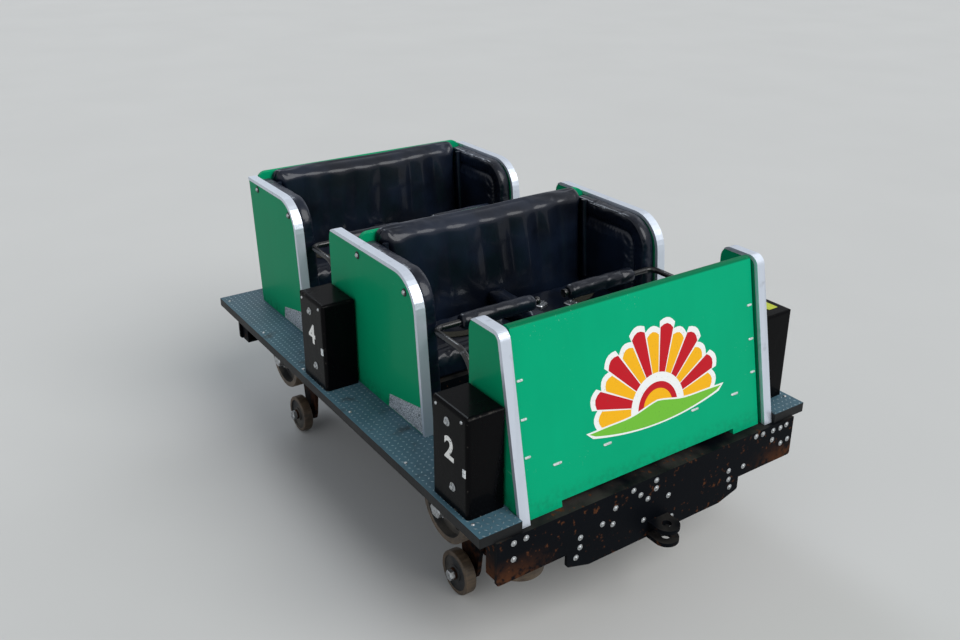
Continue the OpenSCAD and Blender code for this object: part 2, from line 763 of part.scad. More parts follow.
module running_gear(row) {
  end = row == FRONT ? 1 : -1;
  size = 2 * (axle_drop - deck_t - frame_h);
  color(steel) from_nose() translate([-axle_set - row * wheelbase, 0, 0]) {
    translate([-size / 2, -bracket_y - weld, -axle_drop - size / 2])
      cube([size, 2 * (bracket_y + weld), size]);
    for (side = [LEFT, RIGHT]) on(side) {
      wheel_bracket(end);
      translate([0, 0, -axle_drop]) stub(road_y, road_w, stub_r);
      translate([0, 0, -upstop_drop]) stub(upstop_y, upstop_w, pin_small_r);
    }
  }
}

// Spoked-disc road wheel, turned about Z
module road_wheel_shape() {
  hub_r = stub_r + road_hub_t;
  rim_r = road_r - tread_t;
  h = road_w / 2;
  difference() {
    rotate_extrude() polygon([
      [stub_r + fit, -h], [hub_r, -h], [hub_r, -web_t / 2], [rim_r, -web_t / 2], [rim_r, -h],
      [road_r - tread_edge, -h], [road_r, -h + tread_edge], [road_r, h - tread_edge],
      [road_r - tread_edge, h], [rim_r, h], [rim_r, web_t / 2], [hub_r, web_t / 2], [hub_r, h],
      [stub_r + fit, h]
    ]);
    for (a = [0:60:300]) rotate(a) translate([(hub_r + rim_r) / 2, 0, -web_t])
      cylinder(h = 2 * web_t, r = web_hole_r);
  }
}

// Small solid wheel with a thin web and a wide hub, turned about Z
module small_wheel_shape(r, w) {
  h = w / 2;
  web = h - web_set;
  hub_r = pin_small_r + small_hub_t;
  rim_r = r - small_tread_t;
  rotate_extrude() polygon([
    [pin_small_r + fit, -h], [hub_r, -h], [hub_r, -web], [rim_r, -web],
    [rim_r, -h], [r - tread_edge, -h], [r, -h + tread_edge], [r, h - tread_edge],
    [r - tread_edge, h], [rim_r, h], [rim_r, web], [hub_r, web], [hub_r, h], [pin_small_r + fit, h]
  ]);
}

module road_wheel(row, side) {
  color(worn) from_nose() on(side) translate([-axle_set - row * wheelbase, road_y, -axle_drop])
    rotate([-90, 0, 0]) road_wheel_shape();
}

module guide_wheel(row, side) {
  x = -axle_set - row * wheelbase + (row == FRONT ? guide_set : -guide_set);
  color(worn) from_nose() on(side) translate([x, guide_y, -guide_drop]) small_wheel_shape(guide_r, guide_w);
}

module upstop_wheel(row, side) {
  color(worn) from_nose() on(side) translate([-axle_set - row * wheelbase, upstop_y, -upstop_drop])
    rotate([-90, 0, 0]) small_wheel_shape(upstop_r, upstop_w);
}

// Pawl hung from its bracket, its tooth trailing
module dog(x, reach, hook) {
  color(worn) from_nose() translate([x, 0, -dog_drop]) difference() {
    in_xz(-dog_w / 2, dog_w / 2) polygon(rounded([
      [20, 4, 10], [8, -22, 10], [-reach * 0.5, -reach * 0.42 - 20, 12], [-reach, -reach * 0.62 - hook, 4],
      [-reach - 14, -reach * 0.62, 6], [-reach * 0.5, -reach * 0.2, 20], [-14, 18, 10], [10, 20, 8]
    ]));
    translate([0, dog_w, 0]) rotate([90, 0, 0]) cylinder(h = 2 * dog_w, r = dog_pin_r + fit);
  }
}
module chain_dog() { dog(-dog_set[1], chain_dog_l, 26); }
module rollback_dog() { dog(-dog_set[0], rollback_dog_l, 10); }

main_frame();
front_beam();
rear_beam();
floor_deck();
front_panel();
wing(RIGHT);  // wing_right
wing(LEFT);  // wing_left
edge_trims();
bench_side(FRONT, RIGHT);  // side_front_right
bench_side(FRONT, LEFT);  // side_front_left
bench_side(REAR, RIGHT);  // side_rear_right
bench_side(REAR, LEFT);  // side_rear_left
bench_frame(FRONT);  // bench_frame_front
bench_frame(REAR);  // bench_frame_rear
seat_cushion(FRONT);  // seat_cushion_front
seat_cushion(REAR);  // seat_cushion_rear
back_cushion(FRONT);  // back_cushion_front
back_cushion(REAR);  // back_cushion_rear
side_cushions(FRONT);  // side_cushions_front
side_cushions(REAR);  // side_cushions_rear
lap_bar_box(FRONT, LEFT);  // lap_bar_box_1
lap_bar_box(FRONT, RIGHT);  // lap_bar_box_2
lap_bar_box(REAR, LEFT);  // lap_bar_box_3
lap_bar_box(REAR, RIGHT);  // lap_bar_box_4
lap_bar(FRONT, LEFT);  // lap_bar_1
lap_bar(FRONT, RIGHT);  // lap_bar_2
lap_bar(REAR, LEFT);  // lap_bar_3
lap_bar(REAR, RIGHT);  // lap_bar_4
lap_pad(FRONT, LEFT);  // lap_pad_1
lap_pad(FRONT, RIGHT);  // lap_pad_2
lap_pad(REAR, LEFT);  // lap_pad_3
lap_pad(REAR, RIGHT);  // lap_pad_4
running_gear(FRONT);  // front_running_gear
running_gear(REAR);  // rear_running_gear
road_wheel(FRONT, RIGHT);  // road_wheel_front_right
road_wheel(FRONT, LEFT);  // road_wheel_front_left
road_wheel(REAR, RIGHT);  // road_wheel_rear_right
road_wheel(REAR, LEFT);  // road_wheel_rear_left
guide_wheel(FRONT, RIGHT);  // guide_wheel_front_right
guide_wheel(FRONT, LEFT);  // guide_wheel_front_left
guide_wheel(REAR, RIGHT);  // guide_wheel_rear_right
guide_wheel(REAR, LEFT);  // guide_wheel_rear_left
upstop_wheel(FRONT, RIGHT);  // upstop_wheel_front_right
upstop_wheel(FRONT, LEFT);  // upstop_wheel_front_left
upstop_wheel(REAR, RIGHT);  // upstop_wheel_rear_right
upstop_wheel(REAR, LEFT);  // upstop_wheel_rear_left
rear_coupler();
dog_hangers();
chain_dog();
rollback_dog();
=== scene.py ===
"""Looks of the front car of a wooden roller coaster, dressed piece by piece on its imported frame."""
import math

import bmesh
import bpy
from mathutils import Matrix, Vector
from mathutils.bvhtree import BVHTree


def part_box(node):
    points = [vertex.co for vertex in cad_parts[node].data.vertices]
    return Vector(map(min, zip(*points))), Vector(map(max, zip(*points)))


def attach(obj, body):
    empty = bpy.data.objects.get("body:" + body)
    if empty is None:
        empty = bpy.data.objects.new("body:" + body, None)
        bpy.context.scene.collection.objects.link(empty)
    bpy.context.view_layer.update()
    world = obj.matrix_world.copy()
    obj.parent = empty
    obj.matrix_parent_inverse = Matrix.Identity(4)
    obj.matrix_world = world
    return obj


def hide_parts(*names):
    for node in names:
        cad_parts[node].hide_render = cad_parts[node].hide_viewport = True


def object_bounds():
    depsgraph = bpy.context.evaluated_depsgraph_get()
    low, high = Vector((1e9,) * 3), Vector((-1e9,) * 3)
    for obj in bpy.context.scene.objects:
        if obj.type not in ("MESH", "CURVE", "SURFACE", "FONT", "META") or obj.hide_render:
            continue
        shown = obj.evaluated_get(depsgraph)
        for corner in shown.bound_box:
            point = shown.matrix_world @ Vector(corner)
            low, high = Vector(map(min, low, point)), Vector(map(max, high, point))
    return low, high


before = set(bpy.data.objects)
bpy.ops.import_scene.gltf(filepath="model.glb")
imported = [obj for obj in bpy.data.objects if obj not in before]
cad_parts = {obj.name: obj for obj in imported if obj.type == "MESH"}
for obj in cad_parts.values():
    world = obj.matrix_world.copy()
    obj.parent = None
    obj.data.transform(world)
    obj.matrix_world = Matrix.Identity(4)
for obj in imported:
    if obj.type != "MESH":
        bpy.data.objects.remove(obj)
cad_box = [list(corner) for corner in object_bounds()]
scene = bpy.context.scene
scene.view_settings.view_transform = "Standard"

# Camera: it stands where the photograph was taken from, ahead of the car on its right, and dips
# further than there, so that the frame and the wheels under the deck are in the picture too.
def added(name, data):
    """A new object in the scene."""
    made = bpy.data.objects.new(name, data)
    scene.collection.objects.link(made)
    return made


camera_place = (2.993, -1.970, 2.289)
camera_turn = 56.0
camera_dip = 22.5
camera = added("camera", bpy.data.cameras.new("camera"))
camera.data.lens = 36.5
camera.data.shift_y = -0.04
camera.location = camera_place
camera.rotation_euler = (math.radians(90 - camera_dip), 0, math.radians(camera_turn))
scene.camera = camera


# Studio: a pale floor under the lowest wheels, a pale sky, and four broad soft lamps that stand so
# far off that they light the floor evenly: ahead of the car, behind it, and on both its sides.
class Wire:
    """One output of a finish's nodes, with sums on it written as plain Python."""

    def __init__(self, tree, socket=None):
        self.tree = tree
        self.socket = socket

    def node(self, kind, settings=None, sockets=None, output=0):
        """Adds a node of a kind: its settings first, then the values or links of its sockets."""
        made = self.tree.nodes.new("ShaderNode" + kind)
        for name, value in (settings or {}).items():
            setattr(made, name, value)
        for name, value in (sockets or {}).items():
            if isinstance(value, Wire):
                self.tree.links.new(value.socket, made.inputs[name])
            else:
                made.inputs[name].default_value = value
        return Wire(self.tree, made.outputs[output] if made.outputs else None)

    def sum(self, operation, first, second=0.0):
        return self.node("Math", {"operation": operation}, {0: first, 1: second})

    __add__ = __radd__ = lambda self, other: self.sum("ADD", self, other)
    __mul__ = __rmul__ = lambda self, other: self.sum("MULTIPLY", self, other)
    __sub__ = lambda self, other: self.sum("SUBTRACT", self, other)
    __rsub__ = lambda self, other: self.sum("SUBTRACT", other, self)
    __or__ = lambda self, other: self.sum("MAXIMUM", self, other)
    __abs__ = lambda self: self.sum("ABSOLUTE", self)

    def axis(self, name):
        """One of the three numbers of a place, by its letter."""
        return self.node("SeparateXYZ", None, {"Vector": self}, output=name)

    def ramp(self, low, high):
        """0 where this is at low or before it, 1 at high or past it, and smooth between them."""
        ends = {"Value": self, "From Min": low, "From Max": high}
        return self.node("MapRange", {"interpolation_type": "SMOOTHSTEP"}, ends)

    def between(self, low, high):
        """The colour on the way from low, where this is 0, to high, where it is 1."""
        low, high = (tint(end) if isinstance(end, str) else end for end in (low, high))
        return self.node("Mix", {"data_type": "RGBA"}, {0: self, 6: low, 7: high}, output=2)

    def bump(self, depth):
        """The normal of a surface that rises by so many metres where this goes from 0 to 1."""
        return self.node("Bump", None, {"Height": self, "Distance": depth})

    def surface(self, sockets):
        """Ends a finish with its surface shader."""
        self.node("OutputMaterial", None, {"Surface": self.node("BsdfPrincipled", None, sockets)})


def tint(code):
    """A colour written as red, green and blue in hexadecimal, as amounts of light."""
    parts = [int(code[i:i + 2], 16) / 255 for i in (1, 3, 5)]
    light = [p / 12.92 if p <= 0.04045 else ((p + 0.055) / 1.055) ** 2.4 for p in parts]
    return (*light, 1.0)


def new_finish(name):
    """An empty finish, and the place of each point of its piece, in metres of the car's frame."""
    material = bpy.data.materials.new(name)
    material.use_nodes = True
    material.node_tree.nodes.clear()
    return material, Wire(material.node_tree).node("TexCoord", output="Object")


def grain(place, scale, detail=3.0, stretch=(1, 1, 1)):
    """Clouds between 0 and 1, so many in a metre, fewer along an axis whose stretch is small."""
    moved = place.node("Mapping", None, {"Vector": place, "Scale": stretch})
    return place.node("TexNoise", None, {"Vector": moved, "Scale": scale, "Detail": detail})


def mesh_piece(name, shape, finish, sharp_over=35):
    """An object from a shape, smooth but for edges that turn by more degrees than sharp_over."""
    mesh = bpy.data.meshes.new(name)
    bmesh.ops.recalc_face_normals(shape, faces=shape.faces)
    shape.to_mesh(mesh)
    shape.free()
    mesh.shade_smooth()
    mesh.set_sharp_from_angle(angle=math.radians(sharp_over))
    mesh.materials.append(finish)
    return added(name, mesh)


def soft_lamp(name, towards, spread, strength, colour):
    """A lamp that far off shows as a disc, so many degrees wide, and stands in a direction."""
    lamp = added(name, bpy.data.lights.new(name, "SUN"))
    lamp.data.angle = math.radians(spread)
    lamp.data.energy = strength
    lamp.data.color = colour
    lamp.rotation_euler = Vector(towards).to_track_quat("Z", "Y").to_euler()


floor_half = 200.0
floor_shape = bmesh.new()
bmesh.ops.create_grid(floor_shape, x_segments=1, y_segments=1, size=floor_half)
floor_paint, place = new_finish("pale floor")
floor_colour = grain(place, 0.8).between("#c0c0be", "#c7c7c5")
place.surface({"Base Color": floor_colour, "Roughness": 0.8, "Specular IOR Level": 0.2})
floor = mesh_piece("studio_floor", floor_shape, floor_paint)
floor.location.z = cad_box[0][2]

sky = bpy.data.worlds.new("pale sky")
sky.use_nodes = True
sky.node_tree.nodes.clear()
air = Wire(sky.node_tree)
camera_ray, glossy_ray, clear_ray = (
    air.node("LightPath", output=f"Is {kind} Ray") for kind in ("Camera", "Glossy", "Transmission")
)
sky_light = (0.34, 0.36, 0.39, 1.0)
sky_seen = (0.56, 0.57, 0.59, 1.0)
shown = (camera_ray | glossy_ray | clear_ray).between(sky_light, sky_seen)
air.node("OutputWorld", None, {"Surface": air.node("Background", None, {"Color": shown})})
scene.world = sky
soft_lamp("open end", (0.70, 0.22, 0.68), 44, 2.25, (1.0, 0.99, 0.97))
soft_lamp("far side", (-0.10, 0.85, 0.50), 40, 0.40, (0.93, 0.97, 1.0))
soft_lamp("behind", (-0.73, 0.05, 0.68), 20, 0.55, (0.84, 0.92, 1.0))
soft_lamp("near side", (0.30, -0.85, 0.43), 60, 0.30, (0.96, 0.98, 1.0))


# Frame: rails folded to channels, cross members, a rear beam, the drawbar and the dogs' hangers,
# welded, brushed with black paint and bolted together. Dust lies on what faces up, and rust comes
# through the paint here and there.
def black_paint(name, scraped=None):
    """Dull black paint on steel; scraped says where more of it has gone than elsewhere."""
    material, place = new_finish(name)
    facing_up = place.node("TexCoord", output="Normal").axis("Z").ramp(0.2, 0.9)
    clouds = grain(place, 9, 6)
    flakes = grain(place, 55, 5)
    rust = (flakes + 0.35 * clouds).ramp(0.80, 0.90)
    if scraped:
        rust = rust | (scraped(place) * (flakes + clouds).ramp(0.82, 1.04))
    dust = facing_up * clouds.ramp(0.3, 0.75) * 0.45
    colour = clouds.between("#04060a", "#0b0e13")
    colour = dust.between(colour, "#4a4742")
    colour = rust.between(colour, flakes.between("#2e1c13", "#563420"))
    place.surface({
        "Base Color": colour,
        "Roughness": 0.42 + 0.25 * clouds + 0.2 * (rust | dust),
        "Specular IOR Level": 0.04,
        "Normal": (grain(place, 240, 2) * 0.5 - rust).bump(0.0004),
    })
    return material


def dress(names, finish, round_edge=0.0015):
    """Gives CAD nodes their finish, and their edges the small round that paint and tools leave."""
    for name in names:
        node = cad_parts[name]
        node.data.materials.clear()
        node.data.materials.append(finish)
        weld = node.modifiers.new("join corners", "WELD")
        weld.merge_threshold = 0.00002
        bevel = node.modifiers.new("round edges", "BEVEL")
        bevel.width = round_edge
        bevel.segments = 2
        bevel.angle_limit = math.radians(30)
        bevel.harden_normals = True


def skinned(shape, loops):
    """Adds a skin from each loop of places to the next, and closes it at the first and the last."""
    loops = [[shape.verts.new(place) for place in loop] for loop in loops]
    for low, high in zip(loops, loops[1:]):
        for i, start in enumerate(low):
            j = (i + 1) % len(low)
            corners = [start, low[j], high[j % len(high)], high[i % len(high)]]
            shape.faces.new(list(dict.fromkeys(corners)))
    for end in (loops[0], loops[-1]):
        if len(end) > 1:
            shape.faces.new(end)


def round_section(radius, sides=10):
    turns = [2 * math.pi * i / sides for i in range(sides)]
    return [(radius * math.cos(a), radius * math.sin(a)) for a in turns]


def turned(shape, outline, size, foot, out, sides=20):
    """Adds a turned form: its outline as (radius, height) times a size, from a foot, along out."""
    turn = Vector(out).to_track_quat("Z", "Y")
    loops = []
    for radius, height in outline:
        ring = round_section(radius, sides if radius else 1)
        loops.append([Vector(foot) + turn @ (size * Vector((*p, height))) for p in ring])
    skinned(shape, loops)


dome_head = [(1.0, -0.1), (1.0, 0.18), (0.9, 0.4), (0.66, 0.6), (0.33, 0.71), (0.0, 0.74)]
hex_head = [(1.0, -0.1), (1.0, 0.76), (0.88, 0.88), (0.0, 0.88)]
washer = [(1.7, -0.1), (1.7, 0.14), (1.6, 0.2), (0.0, 0.2)]

bolt_steel, place = new_finish("bolt steel")
spots = grain(place, 160, 4)
place.surface({
    "Base Color": spots.ramp(0.5, 0.7).between("#b4b8bb", "#77736b"),
    "Metallic": 0.85,
    "Roughness": 0.28 + 0.25 * spots,
})


def fixed(piece, body="car"):
    """Gives a finished piece the body that it moves with."""
    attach(piece, body)


def hardware(name, heads, places, radius, out, body="car", finish=bolt_steel):
    """Turned heads, nuts or washers as one piece, each on a face that looks along out."""
    shape = bmesh.new()
    for foot in places:
        for outline in heads:
            turned(shape, outline, radius, foot, out, 6 if outline is hex_head else 20)
    fixed(mesh_piece(name, shape, finish), body)


frame_paint = black_paint("frame paint")
dress(["main_frame", "rear_beam", "rear_coupler", "dog_hangers"], frame_paint)
rear_low, rear_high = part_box("rear_beam")
rear_bolt_rows = [rear_low.z + 0.035, rear_high.z - 0.035]
rear_bolt_places = [(rear_low.x, y, z) for y in (-0.39, -0.13, 0.13, 0.39) for z in rear_bolt_rows]
hardware("rear_beam_bolts", [washer, hex_head], rear_bolt_places, 0.009, (-1, 0, 0))


# Front beam: a face plate with a deeper middle, bolted to brackets behind it, and a jaw for a
# coupling pin. Its outer lower corners have been scraped and have rusted.
def scraped_ends(place):
    outer = abs(place.axis("Y")).ramp(0.40, 0.62)
    low = 1 - place.axis("Z").ramp(0.36, 0.46)
    return outer * low


dress(["front_beam"], black_paint("front beam paint", scraped_ends))
beam_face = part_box("floor_deck")[1].x + 0.008
beam_bolts = [
    (0.450, 0.503), (0.485, 0.501), (0.538, 0.497), (0.576, 0.496), (0.607, 0.499),
    (0.538, 0.460), (0.587, 0.430), (0.622, 0.436), (0.399, 0.402),
    (0.326, 0.409), (0.330, 0.373), (0.339, 0.339),
    (-0.117, 0.499), (-0.085, 0.470), (-0.052, 0.443), (-0.019, 0.501), (-0.017, 0.470),
    (0.041, 0.421), (-0.242, 0.423), (-0.198, 0.405), (-0.190, 0.462), (-0.064, 0.366),
    (0.062, 0.330), (-0.330, 0.409), (-0.330, 0.373), (-0.345, 0.340),
    (-0.540, 0.497), (-0.585, 0.497), (-0.585, 0.440),
]
beam_bolt_places = [(beam_face, y, z) for y, z in beam_bolts]
hardware("front_beam_bolts", [washer, dome_head], beam_bolt_places, 0.006, (1, 0, 0))


# Running gear: axle beams with welded brackets that carry the wheels' stub axles and pins. Nuts
# hold the wheels on; everything is greasy and brown with dust.
def greasy_low(place):
    return (1 - place.axis("Z").ramp(0.05, 0.34)) * 0.7


dress(["front_running_gear", "rear_running_gear"], black_paint("running gear paint", greasy_low))
outward = {"left": 1, "right": -1}
guide_pin_rise = 0.041


def middle_of(node):
    """The middle of a node's box."""
    low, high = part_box(node)
    return (low + high) / 2


for end in ("front", "rear"):
    for side, out in outward.items():
        pin_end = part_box(f"{end}_running_gear")[1].y
        for kind, nut, back in (("road", 0.030, 0.0065), ("upstop", 0.020, 0.0470)):
            hub = middle_of(f"{kind}_wheel_{end}_{side}")
            foot = (hub.x, out * (pin_end - back), hub.z)
            hardware(f"{kind}_nut_{end}_{side}", [hex_head], [foot], nut, (0, out, 0))
        pin_top = middle_of(f"guide_wheel_{end}_{side}") + Vector((0, 0, guide_pin_rise))
        hardware(f"guide_nut_{end}_{side}", [hex_head], [pin_top], 0.021, (0, 0, 1))


# Wheels: cast hubs with a tread of hard urethane bonded on. Running has polished the treads and
# thrown grease and dust on the webs. Small bolts hold the bearings' covers on the road wheels.
hub_iron, place = new_finish("wheel hub")
clouds = grain(place, 14, 5)
place.surface({
    "Base Color": clouds.ramp(0.35, 0.7).between("#2b2d2f", "#54504a"),
    "Metallic": 0.35,
    "Roughness": 0.5 + 0.2 * clouds,
    "Normal": grain(place, 300, 3).bump(0.0005),
})
tread_urethane, place = new_finish("wheel tread")
clouds = grain(place, 20, 5)
scuffs = grain(place, 90, 3, (1, 0.15, 1))
dusty = (clouds * 0.6 + scuffs * 0.5).ramp(0.35, 0.75)
place.surface({
    "Base Color": dusty.between("#33291f", "#5e4f3e"),
    "Roughness": 0.38 + 0.3 * scuffs,
    "Normal": scuffs.bump(0.0004),
})
tread_depths = {"road": 0.024, "guide": 0.016, "upstop": 0.016}
cover_bolt_circle = 0.039
for kind, depth in tread_depths.items():
    for corner in ("front_left", "front_right", "rear_left", "rear_right"):
        name = f"{kind}_wheel_{corner}"
        dress([name], hub_iron)
        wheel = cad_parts[name]
        wheel.data.materials.append(tread_urethane)
        low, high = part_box(name)
        centre = middle_of(name)
        across = "xy" if kind == "guide" else "xz"
        rim = (high.x - low.x) / 2 - depth
        for polygon in wheel.data.polygons:
            from_hub = polygon.center - centre
            spread = math.hypot(*(getattr(from_hub, a) for a in across))
            polygon.material_index = int(spread > rim + 0.002)
        if kind == "road":
            out = outward[corner.split("_")[1]]
            turns = [math.radians(60 * i + 30) for i in range(6)]
            places = [
                (centre.x + cover_bolt_circle * math.cos(a), high.y if out > 0 else low.y,
                 centre.z + cover_bolt_circle * math.sin(a)) for a in turns
            ]
            bolts = f"bearing_bolts_{corner}"
            hardware(bolts, [hex_head], places, 0.0042, (0, out, 0), name)


# Dogs: two forged pawls that hang on pins under the frame and trail their teeth. They are oiled
# where they turn, and their teeth have been rubbed bright.
dog_steel, place = new_finish("forged steel")
clouds = grain(place, 30, 6)
place.surface({
    "Base Color": clouds.ramp(0.4, 0.65).between("#3c3833", "#6f6a62"),
    "Metallic": 0.7,
    "Roughness": 0.35 + 0.3 * clouds,
    "Normal": grain(place, 120, 4).bump(0.0008),
})
dress(["chain_dog", "rollback_dog"], dog_steel)


# Deck: plywood under a painted tread plate whose lugs have been walked bright. Its edges are
# sealed with black paint, and domed bolts hold it to the frame along the running boards.
deck_finish, place = new_finish("tread plate")
lug_pitch = 0.021
lug_half_length = 0.42
lug_half_width = 0.17
cell_x = place.axis("X") * (1 / lug_pitch)
cell_y = place.axis("Y") * (1 / lug_pitch)
from_middle_x = place.sum("FRACT", cell_x) - 0.5
from_middle_y = place.sum("FRACT", cell_y) - 0.5
parity = place.sum("FLOOR", cell_x) + place.sum("FLOOR", cell_y)
turned_cell = place.sum("PINGPONG", parity, 1.0).ramp(0.4, 0.6)
slant = abs(from_middle_x + from_middle_y)
cross = abs(from_middle_x - from_middle_y)
lug_long = turned_cell * slant + (1 - turned_cell) * cross
lug_short = turned_cell * cross + (1 - turned_cell) * slant
lug = 1 - (lug_long * (1 / lug_half_length) + lug_short * (1 / lug_half_width)).ramp(0.7, 1.25)
on_top = place.node("TexCoord", output="Normal").axis("Z").ramp(0.5, 0.8)
dirt = grain(place, 5, 6)
streaks = grain(place, 45, 4, (0.15, 1, 1))
walked = (abs(place.axis("Y")) - 0.12 * dirt).ramp(0.44, 0.54)
worn = (lug * 0.55 + dirt * 0.5 + streaks * 0.4 + walked * 0.25).ramp(0.75, 1.25)
painted = dirt.between("#2d4a56", "#4f7180")
plate_colour = worn.between(painted, streaks.between("#7a929c", "#a8bac2"))
grime = (grain(place, 14, 5) + 0.6 * dirt).ramp(0.86, 1.1) * 0.7
plate_colour = grime.between(plate_colour, "#26231f")
place.surface({
    "Base Color": on_top.between("#0d0f11", plate_colour),
    "Metallic": on_top * worn * 0.6,
    "Roughness": 0.38 + 0.3 * dirt - 0.10 * worn,
    "Specular IOR Level": 0.25,
    "Normal": (on_top * lug + 0.15 * streaks).bump(0.0014),
})
dress(["floor_deck"], deck_finish)
deck_low, deck_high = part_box("floor_deck")
deck_bolt_pitch = 0.39
deck_bolt_inset = 0.022
deck_bolt_x = [deck_low.x + 0.06 + deck_bolt_pitch * i for i in range(6)]
deck_bolt_places = [
    (x, s * (deck_high.y - deck_bolt_inset), deck_high.z) for x in deck_bolt_x for s in (1, -1)
]
hardware("deck_bolts", [dome_head], deck_bolt_places, 0.006, (0, 0, 1))


# Front panel: a thick plywood board with a rounded top, sprayed with green enamel, whose top is
# darkened with painted shade. Short oval fixings hold it to the uprights behind it, and a painted
# sunburst stands on it.
def green_enamel(name, light, dark, grime_height, grime_share, painted_top_shade=0.0):
    """Green enamel between two shades; how high over the deck and how thick dirt lies; its top's
    painted shade.
    """
    material, place = new_finish(name)
    facing_up = place.node("TexCoord", output="Normal").axis("Z").ramp(0.35, 0.75)
    clouds = grain(place, 2.2, 4)
    runs = grain(place, 26, 4, (1, 1, 0.1))
    scratches = grain(place, 150, 5, (0.08, 1, 0.9)).ramp(0.66, 0.72)
    scratches = scratches * grain(place, 7, 3).ramp(0.5, 0.7)
    height = place.axis("Z") - deck_high.z
    creep = 1 - (height - 0.04 * grain(place, 14, 4)).ramp(-0.02, grime_height)
    grime = creep * grain(place, 60, 5).ramp(0.30, 0.75) * grime_share
    colour = (clouds * 0.75 + runs * 0.25).between(dark, light)
    # Painted shade: what faces up is darkened towards a deep green, as if shaded from above.
    colour = (facing_up * painted_top_shade).between(colour, "#02633f")
    colour = grime.between(colour, "#17231d")
    colour = (scratches * 0.25).between(colour, "#8fd0b4")
    place.surface({
        "Base Color": colour,
        "Roughness": 0.28 + 0.14 * clouds + 0.3 * grime,
        "Specular IOR Level": 0.03,
        "Coat Weight": 0.04,
        "Coat Roughness": 0.06,
        "Normal": (grain(place, 420, 2) + 0.4 * runs).bump(0.00010),
    })
    return material


def plate(shape, rim, out, thick, bevel=0.0, sunk=0.0004):
    """Adds a flat plate: its rim's places on its carrier, which way it looks, its thickness."""
    out = Vector(out).normalized()
    middle = sum((Vector(p) for p in rim), Vector()) / len(rim)
    lifts = [(-sunk, 0.0), (thick - bevel, 0.0)] + ([(thick, bevel)] if bevel else [])
    skinned(shape, [
        [Vector(p) + (middle - Vector(p)).normalized() * inset + out * lift for p in rim]
        for lift, inset in lifts
    ])


panel_enamel = green_enamel("front panel enamel", "#05a97a", "#04986b", 0.02, 0.2, painted_top_shade=0.9)
dress(["front_panel"], panel_enamel, 0.003)
panel_low, panel_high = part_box("front_panel")
panel_lean = math.radians(11.2)
panel_out = Vector((math.cos(panel_lean), 0, math.sin(panel_lean)))
panel_rise = Vector((-math.sin(panel_lean), 0, math.cos(panel_lean)))


def on_panel(y, height):
    """The place on the panel's face at a height over its feet."""
    return Vector((panel_high.x, y, panel_low.z)) + panel_rise * (height / math.cos(panel_lean))


def oblong(middle, along, up, length, width, radius, steps=6):
    """Rim of an oblong with rounded corners, drawn round its middle."""
    rim = []
    for i, (ahead, above) in enumerate(((1, 1), (-1, 1), (-1, -1), (1, -1))):
        corner = middle + along * (ahead * (length / 2 - radius))
        corner = corner + up * (above * (width / 2 - radius))
        for k in range(steps + 1):
            a = math.radians(90 * (i + k / steps))
            rim.append(corner + along * (radius * math.cos(a)) + up * (radius * math.sin(a)))
    return rim


def plates(name, rims, out, thick, bevel, finish, sharp_over=35):
    """Flat plates as one piece, each with its rim on a face that looks along out."""
    shape = bmesh.new()
    for rim in rims:
        plate(shape, rim, out, thick, bevel)
    fixed(mesh_piece(name, shape, finish, sharp_over))


zinc, place = new_finish("zinc")
place.surface({
    "Base Color": grain(place, 200, 4).ramp(0.45, 0.7).between("#e6eaec", "#b3b8bb"),
    "Metallic": 0.35,
    "Roughness": 0.3 + 0.2 * grain(place, 90, 3),
})
fixing_length = 0.022
fixing_width = 0.0075
fixings = [(y, z, fixing_length) for y in (-0.4835, 0.4835) for z in (0.429, 0.311, 0.194)]
fixings += [(y, 0.141, 1.5 * fixing_length) for y in (-0.3785, -0.180, 0.200, 0.390)]
across = Vector((0, 1, 0))
rims = [
    oblong(on_panel(y, height), across, panel_rise, length, fixing_width, 0.48 * fixing_width)
    for y, height, length in fixings
]
plates("panel_fixings", rims, panel_out, 0.003, 0.0012, zinc, 60)

sun_middle = (0.040, 0.195)
sun_reach = 0.275
ray_count = 13
paints = {"red": "#bb1a26", "yellow": "#eeb01c", "white": "#e9ebe9", "meadow": "#6fb83a"}
sun_finishes = {}
for name, code in paints.items():
    sun_finishes[name], place = new_finish(f"sunburst {name}")
    worn_print = grain(place, 130, 5).ramp(0.62, 0.72) * 0.6
    faded = grain(place, 30, 4).between(code, "#3a4a42")
    place.surface({
        "Base Color": worn_print.between(code, faded),
        "Roughness": 0.34 + 0.2 * grain(place, 60, 3),
        "Specular IOR Level": 0.10,
        "Coat Weight": 0.03,
        "Normal": grain(place, 500, 2).bump(0.0001),
    })


def sun_point(angle, reach):
    """A place on the panel in a direction from the sun's middle, 0 to the left side of the car."""
    y = sun_middle[0] + sun_reach * reach * math.cos(angle)
    return on_panel(y, sun_middle[1] + sun_reach * reach * math.sin(angle))


def fan_patch(shape, start, stop, inner, outer, lift):
    """Adds a piece of the fan between two angles and two reaches; a rounded end for a ray's tip."""
    steps = max(4, round(math.degrees(stop - start) / 3))
    bulge = 0.045 if inner else 0.0
    angles = [start + (stop - start) * i / steps for i in range(steps + 1)]
    tips = [outer + bulge * math.sin(math.pi * i / steps) for i in range(steps + 1)]
    rim = [sun_point(a, tip) for a, tip in zip(angles, tips)]
    if inner:
        rim += [sun_point(a, inner) for a in reversed(angles)]
    plate(shape, rim, panel_out, lift)


def hill_rim(reach, margin):
    """Rim of the hills under the sun: two low crests above, a shallow bow below, pointed ends."""
    crests, bow = [], []
    for i in range(25):
        share = i / 12 - 1
        y = sun_middle[0] + reach * share
        rise = 0.020 * (1 - share ** 2) * (0.8 + 0.5 * math.cos(2 * math.pi * share))
        crests.append(on_panel(y, sun_middle[1] - 0.004 + rise * (1 - abs(share)) + margin))
        bow.append(on_panel(y, sun_middle[1] - 0.010 - 0.040 * (1 - share ** 2) - margin))
    return crests + bow[-2:0:-1]


